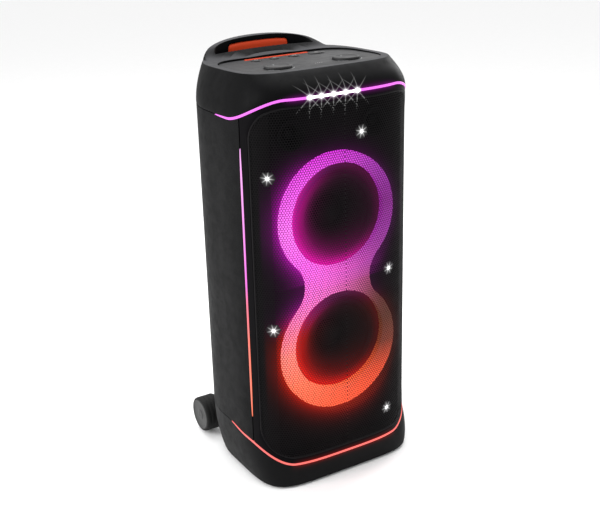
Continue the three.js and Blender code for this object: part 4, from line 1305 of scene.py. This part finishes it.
SIGNS = {
    "power": [arc_band(3.2, 0.8, 125, 415), bar_band(0, 1.2, 0, 4.6, 0.8)],
    "pair": [
        arc_band(2.0, 0.8, 60, 300, centre=(-1.4, 0)),
        arc_band(2.0, 0.8, -120, 120, centre=(1.4, 0)),
        bar_band(-1.4, 0, 1.4, 0, 0.8),
    ],
    "play": [
        ([(-4.4, 3.0), (0.2, 0)], [(-4.4, -3.0), (0.2, -0.01)]),
        bar_band(1.8, 3, 1.8, -3, 1.0),
        bar_band(4.2, 3, 4.2, -3, 1.0),
    ],
    "lights": [arc_band(2.0, 0.8, 0, 359, 40)] + [
        bar_band(3.2 * math.cos(a), 3.2 * math.sin(a), 4.8 * math.cos(a), 4.8 * math.sin(a), 0.7)
        for a in [k * math.pi / 4 for k in range(8)]
    ],
}


def sign_object(name, bands, low, high):
    """Raised strokes, each between two lines of points."""
    points, faces = [], []
    for left, right in bands:
        n, start = len(left), len(points)
        for h in (low, high):
            points += [(px, py, h) for px, py in left] + [(px, py, h) for px, py in right]
        top, bottom = start + 2 * n, start
        for k in range(n - 1):
            faces.append((top + k, top + k + 1, top + n + k + 1, top + n + k))
            faces.append((bottom + k, bottom + n + k, bottom + n + k + 1, bottom + k + 1))
            faces.append((bottom + k, bottom + k + 1, top + k + 1, top + k))
            faces.append((bottom + n + k, top + n + k, top + n + k + 1, bottom + n + k + 1))
        for k in (0, n - 1):
            faces.append((bottom + k, top + k, top + n + k, bottom + n + k))
    return new_object(name, mesh_of(name, points, faces))


# ---- behind the grille: board, side liners, drivers and lamps ----
def make_baffle():
    outline = rounded_loop(171, 398, 20, 4, 8) + np.array([0, 460])
    holes = [circle_points(0, z, 105.5) for z in (RING_UP_Z, RING_LOW_Z)]
    holes += [circle_points(x, TWEETER_Z, 27, 48) for x in (-TWEETER_X, TWEETER_X)]
    loops = [[tuple(p) for p in outline], *holes]
    board = pierced_plate("baffle_board", loops, BAFFLE_Y, BAFFLE_Y + 11)
    finish_piece(board, MAT["baffle"], replaces=["front_baffle"])
    inner = arc_at_y(-166)
    for tag, side in (("left", -1), ("right", 1)):
        s, z = seam_grid(side * np.linspace(inner, ARC_MESH + 7, 24), 24, 5)
        liner = plate_object("baffle_liner_" + tag, wall(s, z, -4.2), wall(s, z, -5.8))
        finish_piece(liner, MAT["baffle"])


def turned_piece(
    name, profile, centre, material, body=ROOT, replaces=(), segments=128, radius=0.5
):
    """A piece turned about an axis along the depth."""
    o = lathe_object(name, profile, "y", centre, segments, radius)
    return finish_piece(o, material, body, replaces, sharp=40)


def make_woofer(tag, z):
    y = BAFFLE_Y
    centre = (0, 0, z)
    body = tag + "_diaphragm"
    basket = [(94, -5), (109, -5), (109, -0.3), (104, -0.3), (68, 60), (68, 74)]
    basket += [(20, 74), (20, 70), (64, 70), (64, 59), (100, -1), (94, -1), (94, -5)]
    turned_piece(tag + "_basket", moved(basket, y), centre, MAT["cone"], ROOT, [tag + "_frame"])
    motor = [(14, 75), (60, 75), (60, 92), (57, 93), (60, 94), (60, 112), (14, 112), (14, 75)]
    turned_piece(tag + "_motor", moved(motor, y), centre, MAT["magnet"], ROOT, [tag + "_magnet"])
    roll = [(93.4, y - 4.4), (93.4, y - 2.6)]
    roll += [(86 + 7.4 * math.cos(a), y - 2.6 - 4.2 * math.sin(a)) for a in np.linspace(0.1, 3.04, 14)]
    roll += [(78.6, y - 2.2), (78.6, y - 4.2)]
    roll += [(86 + 7.4 * math.cos(a), y - 4.4 - 5.2 * math.sin(a)) for a in np.linspace(3.04, 0.1, 14)]
    roll += [(93.4, y - 4.4)]
    turned_piece(tag + "_roll", roll, centre, MAT["cone"], ROOT, [tag + "_surround"], radius=0)
    front = moved([(78, -4), (78, -2), (35, 35), (19, 36), (19, 60), (16, 60), (16, 32), (34, 31)], y)
    for k in range(1, 12):
        r = lerp(34, 78, k / 12)
        front.append((r, lerp(y + 31, y - 4, k / 12) + (0.35 if k % 2 else -0.35)))
    front.append((78, y - 4))
    turned_piece(tag + "_paper", front, centre, MAT["cone"], body, [tag + "_cone"])
    cap = [(0, 14), (10, 14.9), (18, 17.6), (26, 22.6), (32, 28.5), (30.5, 29.5), (17, 20.5), (0, 16.5)]
    cap = moved(cap, y)
    turned_piece(tag + "_dust_cap", cap, centre, MAT["cone"], body, [tag + "_cap"], radius=2.0)


def make_tweeter(tag, x):
    y = BAFFLE_Y
    centre = (x, 0, TWEETER_Z)
    horn = [(33, -4), (33, -0.3), (26.5, -0.3), (26.5, 20), (15, 20), (15, 10)]
    horn = moved(horn + [(17.6, 6.6), (22, 2), (29, -4), (33, -4)], y)
    turned_piece(tag + "_flare", horn, centre, MAT["housing"], ROOT, [tag + "_horn"], 96, 1.2)
    dome = [(0, 4), (5, 4.6), (9, 6.8), (12, 10.5), (13.6, 12), (13.6, 20.4)]
    dome = moved(dome + [(24, 20.4), (24, 40), (0, 40)], y)
    turned_piece(tag + "_membrane", dome, centre, MAT["magnet"], ROOT, [tag + "_dome"], 96, 0.8)


POINT_LIGHTS = [(-159, 711), (58, 770), (127, 457), (-159, 380), (123, 116)]


def make_lamps():
    """Point lights on the board behind the grille, and the strobes in the top strip."""
    holder = [(0, -8), (2.4, -8), (3.2, -10.6), (4.4, -9.8), (5, -4), (6, -3), (6, -0.3), (0, -0.3)]
    holder = moved(holder, BAFFLE_Y)
    lens = moved([(0, -11), (1.2, -10.8), (2.1, -10), (2.5, -8.8), (2.5, -7.4), (0, -7.4)], BAFFLE_Y)
    for k, (x, z) in enumerate(POINT_LIGHTS):
        tag = "point_light_%d" % (k + 1)
        turned_piece(tag + "_holder", holder, (x, 0, z), MAT["housing"], ROOT, [tag], 48, 0.4)
        # The lenses are plain; the glow of each point light is painted on the closed grille sheet in front
        # of it.
        turned_piece(tag + "_lens", lens, (x, 0, z), MAT["mark"], ROOT, (), 32, 0.3)
    board = round_box("strobe_board", (-96, 48), (-178, -169), (854, 866), 3, "y")
    finish_piece(soft_edges(board, 0.6), MAT["housing"], replaces=["strobe_bar"])
    for k, x in enumerate(STROBE_X):
        front = float(wall(x, STROBE_Z)[1])
        lens = moved([(0, -1.9), (2.2, -1.7), (3.6, -0.9), (4.1, 0.5), (0, 0.5)], front)
        o = lathe_object("strobe_%d_lens" % (k + 1), lens, "y", (x, 0, 868), 32, 0.4)
        finish_piece(o, MAT["lamp"])


# ---- base, feet and wheels ----
FOOT = {"a": 195, "f": 190, "r": 153, "nf": 5.6, "nr": 2.2}


def make_base():
    s = CROWN_STATIONS
    angle = angle_at(s)

    def ring(k, shrink=0.0, drop=0.5):
        lean = 1 - (1 - k) ** 2.6
        plan = {c: lerp(FOOT[c], BODY[c], lean) - shrink for c in "afr"}
        plan.update({c: lerp(FOOT[c], BODY[c], k) for c in ("nf", "nr")})
        x, y = plan_point(angle, **plan)
        return np.stack([x, y, lerp(BASE_FLOOR, base_seam(s) - drop, k)], axis=-1)

    rings = [ring(0, 4.0), ring(0.012, 2.0), ring(0.035, 0.6)]
    rings += [ring(k) for k in np.concatenate([np.linspace(0.06, 0.97, 22), [0.985]])]
    rings += [ring(1, 0.5), ring(1, 1.4, 0.2), ring(1, 30, 0.2)]
    o = loft_object("base_shell", rings)
    cuts = []
    for side in (-1, 1):
        inner, outer = side * (WHEEL_IN - 6), side * 240
        cuts.append(drum("arch", WHEEL_R + 5, inner, outer, "x", (0, WHEEL_Y, WHEEL_Z), 96))
    cuts.append(round_box("underside", (-92, 92), (-120, 70), (0, BASE_FLOOR + 2.5), 24, "z"))
    for x in (-120, 120):
        for y in (-80, 40):
            cuts.append(drum("screw_well", 5.5, 0, BASE_FLOOR + 8, "z", (x, y, 0)))
    boolean(o, cuts)
    soft_edges(o, 1.2, 3, 42)
    finish_piece(o, MAT["base"], replaces=["base_housing"])
    feet = [("front_left", -152, -98, -176, -132), ("front_right", 98, 152, -176, -132)]
    feet += [("rear_left", -118, -64, 92, 132), ("rear_right", 64, 118, 92, 132)]
    for tag, x0, x1, y0, y1 in feet:
        foot = round_box("foot_" + tag + "_pad", (x0, x1), (y0, y1), (0, BASE_FLOOR - 0.3), 16, "z", 10)
        grooves = [
            round_box("groove", (x0 + 12, x1 - 12), (y - 1, y + 1), (-1, 0.7), 0.8, "z")
            for y in np.arange(y0 + 12, y1 - 10, 6.0)
        ]
        boolean(foot, grooves)
        soft_edges(foot, 0.5, 2, 45)
        finish_piece(foot, MAT["rubber"], replaces=["foot_" + tag])


def make_wheels():
    for tag, side in (("left", -1), ("right", 1)):
        body = "wheel_" + tag + "_body"
        centre = (0, WHEEL_Y, WHEEL_Z)
        face = [(33, -3), (36.5, -1.2), (36.2, -0.3), (33.5, -0.1), (31.5, -1.3), (13, -1.9), (11.6, -0.9)]
        rim = moved([(5.3, 2), (28, 2), (33, 6)], WHEEL_IN)
        rim += moved(face + [(8.5, -0.5), (0, -0.4)], WHEEL_OUT)
        rim += moved([(0, 13), (5.3, 13), (5.3, 2)], WHEEL_IN)
        hub = lathe_object("wheel_" + tag + "_rim", [(r, side * h) for r, h in rim], "x", centre, 128, 0.7)
        finish_piece(hub, MAT["hub"], body, ["wheel_" + tag], sharp=45)
        tyre = [(33.3, WHEEL_IN + 4), (36, WHEEL_IN + 0.5), (40, WHEEL_IN), (WHEEL_R, WHEEL_IN + 4)]
        for groove in (WHEEL_IN + 12, WHEEL_IN + 22, WHEEL_IN + 32):
            tyre += [(WHEEL_R, groove - 1.4), (WHEEL_R - 1.2, groove - 0.9)]
            tyre += [(WHEEL_R - 1.2, groove + 0.9), (WHEEL_R, groove + 1.4)]
        lip = [(WHEEL_R, -7), (41.2, -2.6), (39.2, -0.6), (37.6, -0.8), (36.8, -1.8), (33.3, -3.6)]
        tyre += [*moved(lip, WHEEL_OUT), (33.3, WHEEL_IN + 4)]
        band = lathe_object("tyre_" + tag + "_band", [(r, side * h) for r, h in tyre], "x", centre, 192, 0.5)
        tread = 0.006
        for v in band.data.vertices:
            dy, dz = v.co.y / MM - WHEEL_Y, v.co.z / MM - WHEEL_Z
            if math.hypot(dy, dz) > WHEEL_R - 0.6:
                wave = 1 - tread * max(0.0, math.cos(48 * math.atan2(dz, dy)))
                v.co.y, v.co.z = (WHEEL_Y + dy * wave) * MM, (WHEEL_Z + dz * wave) * MM
        finish_piece(band, MAT["tyre"], body, ["tyre_" + tag], sharp=45)


# ---- rear ----
def screw(name, x, z, y=BACK_Y, radius=3.4):
    profile = moved([(0, -0.6), (radius, -0.6), (radius, 0.6), (radius - 0.9, 1.3), (0, 1.5)], y)
    head = lathe_object(name, profile, "y", (x, 0, z), 32, 0.3)
    slots = []
    for a, b in ((2.0, 0.35), (0.35, 2.0)):
        slots.append(round_box("slot", (x - a, x + a), (y + 0.5, y + 4), (z - b, z + b), 0.2, "y", 2))
    boolean(head, slots)
    finish_piece(head, MAT["steel"])


def make_rear():
    half = REAR_HALF + 2.4
    height = (REAR_LOW - 8, REAR_HIGH + 8)
    panel = round_box("rear_cover", (-half, half), (BACK_Y - 5, BACK_Y), height, 18, "y", 10)
    cuts = [
        round_box("io", (-IO_HALF, IO_HALF), (100, 200), IO_Z, 10, "y", 8),
        round_box("battery", (-BATTERY_HALF, BATTERY_HALF), (100, 200), BATTERY_Z, 10, "y", 8),
        drum("port", 45.4, 100, 200, "y", (0, 0, PORT_Z), 96),
    ]
    boolean(panel, cuts)
    soft_edges(panel, 0.9, 3, 40)
    finish_piece(panel, MAT["shell"], replaces=["rear_panel"])
    for k, (x, z) in enumerate([(-100, 154), (100, 154), (-100, 440), (100, 440), (-100, 786), (100, 786)]):
        screw("rear_screw_%d" % (k + 1), x, z)
    tube = [(44.8, -0.5), (42.4, -1.6), (38.4, -5), (36, -10), (35, -110), (38, -110), (39, -14)]
    tube = moved(tube + [(45, -6), (44.8, -0.5)], BACK_Y)
    port = (0, 0, PORT_Z)
    turned_piece("bass_port_tube", tube, port, MAT["bezel"], ROOT, ["bass_port"], 128, 1.0)


INPUT_X = (-52, -22)
JACK_Z = 664
GAIN_Z = 706
INLET_Z = 595
COVER = {"x0": 10, "x1": 64, "z0": 644, "z1": 680, "y": BACK_Y - IO_DEEP + 3.4}


def make_io():
    z0, z1 = IO_Z
    floor_y = BACK_Y - IO_DEEP
    width, height = (-IO_HALF + 0.4, IO_HALF - 0.4), (z0 + 0.4, z1 - 0.4)
    tray = round_box("io_recess", width, (floor_y, BACK_Y - 0.5), height, 10, "y", 10)
    width, height = (-IO_HALF + 3, IO_HALF - 3), (z0 + 3, z1 - 3)
    cuts = [round_box("hollow", width, (floor_y + 3, BACK_Y + 10), height, 8, "y", 10)]
    y0, y1 = floor_y - 5, floor_y + 10
    for x in INPUT_X:
        cuts.append(drum("hole", 5, y0, y1, "y", (x, 0, GAIN_Z), 48))
        cuts.append(drum("hole", 6.4, y0, y1, "y", (x, 0, JACK_Z), 48))
    cuts.append(round_box("inlet", (-26.6, 26.6), (y0, y1), (581.4, 608.6), 4, "y", 6))
    cuts.append(round_box("data", (22, 38), (y0, y1), (660, 668), 1.5, "y"))
    boolean(tray, cuts)
    for x in (COVER["x0"] + 1, COVER["x1"] - 5):
        depth, height = (COVER["y"] - 1, COVER["y"] + 5), (COVER["z1"], COVER["z1"] + 5.4)
        lug = round_box("lug", (x, x + 4), depth, height, 0.8, "x", 3)
        boolean(tray, [lug], "UNION")
    soft_edges(tray, 0.6, 2, 40)
    finish_piece(tray, MAT["bezel"], replaces=["io_tray"])
    y = floor_y + 3
    ring = moved([(6.5, -2), (9.4, -2), (9.4, 1.0), (8.6, 1.8), (7.0, 1.8), (6.5, 1.0), (6.5, -2)], y)
    for k, x in enumerate(INPUT_X):
        centre = (x, 0, JACK_Z)
        turned_piece("input_socket_%d" % (k + 1), ring, centre, MAT["steel"], ROOT, (), 64, 0.3)
        for n in range(11):
            a = math.radians(-140 + 28 * n)
            centre = (x + 13 * math.sin(a), 0, GAIN_Z + 13 * math.cos(a))
            o = drum("gain_scale_%d_%d" % (k + 1, n), 0.7, y - 0.2, y + 0.25, "y", centre, 12)
            finish_piece(o, MAT["mark"])
    inlet = round_box("inlet_shell", (-26, 26), (floor_y - 16, floor_y + 5), (582, 608), 4, "y", 6)
    boolean(inlet, [round_box("well", (-12, 12), (floor_y - 12, floor_y + 20), (587, 603), 5, "y", 8)])
    soft_edges(inlet, 0.6, 2, 40)
    finish_piece(inlet, MAT["knob"], replaces=["mains_inlet"])
    pin = moved([(0, -12), (1.4, -12), (1.4, 0.4), (0.6, 1.4), (0, 1.4)], floor_y)
    for k, x in enumerate((-5, 5)):
        centre = (x, 0, INLET_Z)
        turned_piece("inlet_pin_%d" % (k + 1), pin, centre, MAT["steel"], ROOT, (), 24, 0.3)
    for k, x in enumerate((-21, 21)):
        screw("inlet_screw_%d" % (k + 1), x, INLET_Z, floor_y + 5, 2.6)
    make_gain_knobs(y)
    make_port_cover()


def make_gain_knobs(y):
    profile = moved([(0, -10), (4.4, -10), (4.4, 0.8), (9, 0.8), (9, 10.6), (8.2, 11.8), (0, 12)], y)
    for tag, x in zip(("mic", "guitar"), INPUT_X):
        body = tag + "_gain_body"
        knob = lathe_object(tag + "_gain_cap", profile, "y", (x, 0, GAIN_Z), 144, 0.5)
        for v in knob.data.vertices:
            dx, dz = v.co.x / MM - x, v.co.z / MM - GAIN_Z
            if math.hypot(dx, dz) > 8.3 and v.co.y / MM < y + 11:
                wave = 1 + 0.03 * math.cos(24 * math.atan2(dz, dx))
                v.co.x, v.co.z = (x + dx * wave) * MM, (GAIN_Z + dz * wave) * MM
        finish_piece(knob, MAT["knob"], body, [tag + "_gain_knob"], sharp=45)
        depth, height = (y + 11.4, y + 12.25), (GAIN_Z + 3, GAIN_Z + 7.6)
        mark = round_box(tag + "_gain_mark", (x - 0.5, x + 0.5), depth, height, 0.4, "y", 3)
        finish_piece(mark, MAT["mark"], body)


def make_port_cover():
    x0, x1, z0, z1, y = (COVER[k] for k in ("x0", "x1", "z0", "z1", "y"))
    cover = round_box("port_cover_flap", (x0, x1), (y + 3, y + 5.5), (z0, z1 - 1.2), 3, "y", 6)
    tab = round_box("tab", (x0 + 6, x1 - 6), (y + 3, y + 5.5), (z1 - 3.5, z1 + 3), 0.4, "x", 3)
    barrel = drum("barrel", 2.4, x0 + 6, x1 - 6, "x", (0, y + 3.4, z1 + 3))
    boolean(cover, [tab, barrel], "UNION")
    pull = []
    for z in (z0 + 3, z0 + 6, z0 + 9):
        pull.append(round_box("pull", (x0 + 16, x1 - 16), (y + 5.0, y + 8), (z, z + 1.2), 0.4, "y", 2))
    boolean(cover, pull)
    soft_edges(cover, 0.4, 2, 40)
    finish_piece(cover, MAT["rubber"], "port_cover_body", ["port_cover"])


def make_battery():
    z0, z1 = BATTERY_Z
    half = BATTERY_HALF - 1
    depth = (BACK_Y - PACK_DEEP, BACK_Y + 2)
    pack = round_box("battery_case", (-half, half), depth, (z0 + 1, z1 - 1), 9, "y", 10)
    cuts = [
        round_box("pull", (-34, 34), (BACK_Y - 14, BACK_Y + 10), (z0 + 14, z0 + 44), 8, "y", 8),
        round_box("seat", (-24, 24), (BACK_Y - 4, BACK_Y + 10), (z1 - 46, z1 - 26), 4, "y", 6),
    ]
    for z in np.arange(z0 + 66, z1 - 62, 11.0):
        depth = (BACK_Y + 1.1, BACK_Y + 6)
        cuts.append(round_box("groove", (-58, 58), depth, (z - 1.3, z + 1.3), 1.2, "y", 4))
    boolean(pack, cuts)
    soft_edges(pack, 1.0, 3, 40)
    finish_piece(pack, MAT["knob"], "battery_body", ["battery_pack"])
    depth = (BACK_Y - 3.6, BACK_Y + 3.4)
    latch = round_box("battery_latch_slider", (-22, 8), depth, (z1 - 45, z1 - 27), 4, "y", 6)
    depth = (BACK_Y + 2.4, BACK_Y + 6)
    ribs = []
    for x in (-13, -10, -7, -4, -1):
        ribs.append(round_box("rib", (x - 0.8, x + 0.8), depth, (z1 - 42, z1 - 30), 0.7, "y", 3))
    boolean(latch, ribs)
    soft_edges(latch, 0.6, 2, 40)
    finish_piece(latch, MAT["orange"], "battery_latch_body", ["battery_latch"])


# ---- small marks on the control panel ----
def make_deck_marks():
    """Level lights between the dials, and an arc on either side of each dial."""
    for k, x in enumerate((4, 9, 14, 19)):
        dot = [(0, -0.5), (1.1, -0.5), (1.1, 0.15), (0.7, 0.3), (0, 0.35)]
        lamp = on_panel(lathe_object("level_light_%d" % (k + 1), dot, "z", (0, 0, 0), 24, 0), x - 1, -81)
        finish_piece(lamp, MAT["sign"])
    for tag, x in (("left", -DIAL_X), ("right", DIAL_X)):
        for k, (start, end) in enumerate(((205, 245), (-65, -25))):
            arc = arc_band(DIAL_R + 5, 0.8, start, end)
            band = sign_object("dial_%s_scale_%d" % (tag, k + 1), [arc], -0.3, 0.12)
            finish_piece(on_panel(band, x, DIAL_Y), MAT["mark"], sharp=50)


dress_cad()
make_cabinet()
make_bezel()
make_grille()
make_strips()
make_ring()
make_baffle()
make_woofer("woofer_upper", RING_UP_Z)
make_woofer("woofer_lower", RING_LOW_Z)
make_tweeter("tweeter_left", -TWEETER_X)
make_tweeter("tweeter_right", TWEETER_X)
make_lamps()
make_top()
make_deck()
make_deck_marks()
make_base()
make_wheels()
make_rear()
make_io()
make_battery()
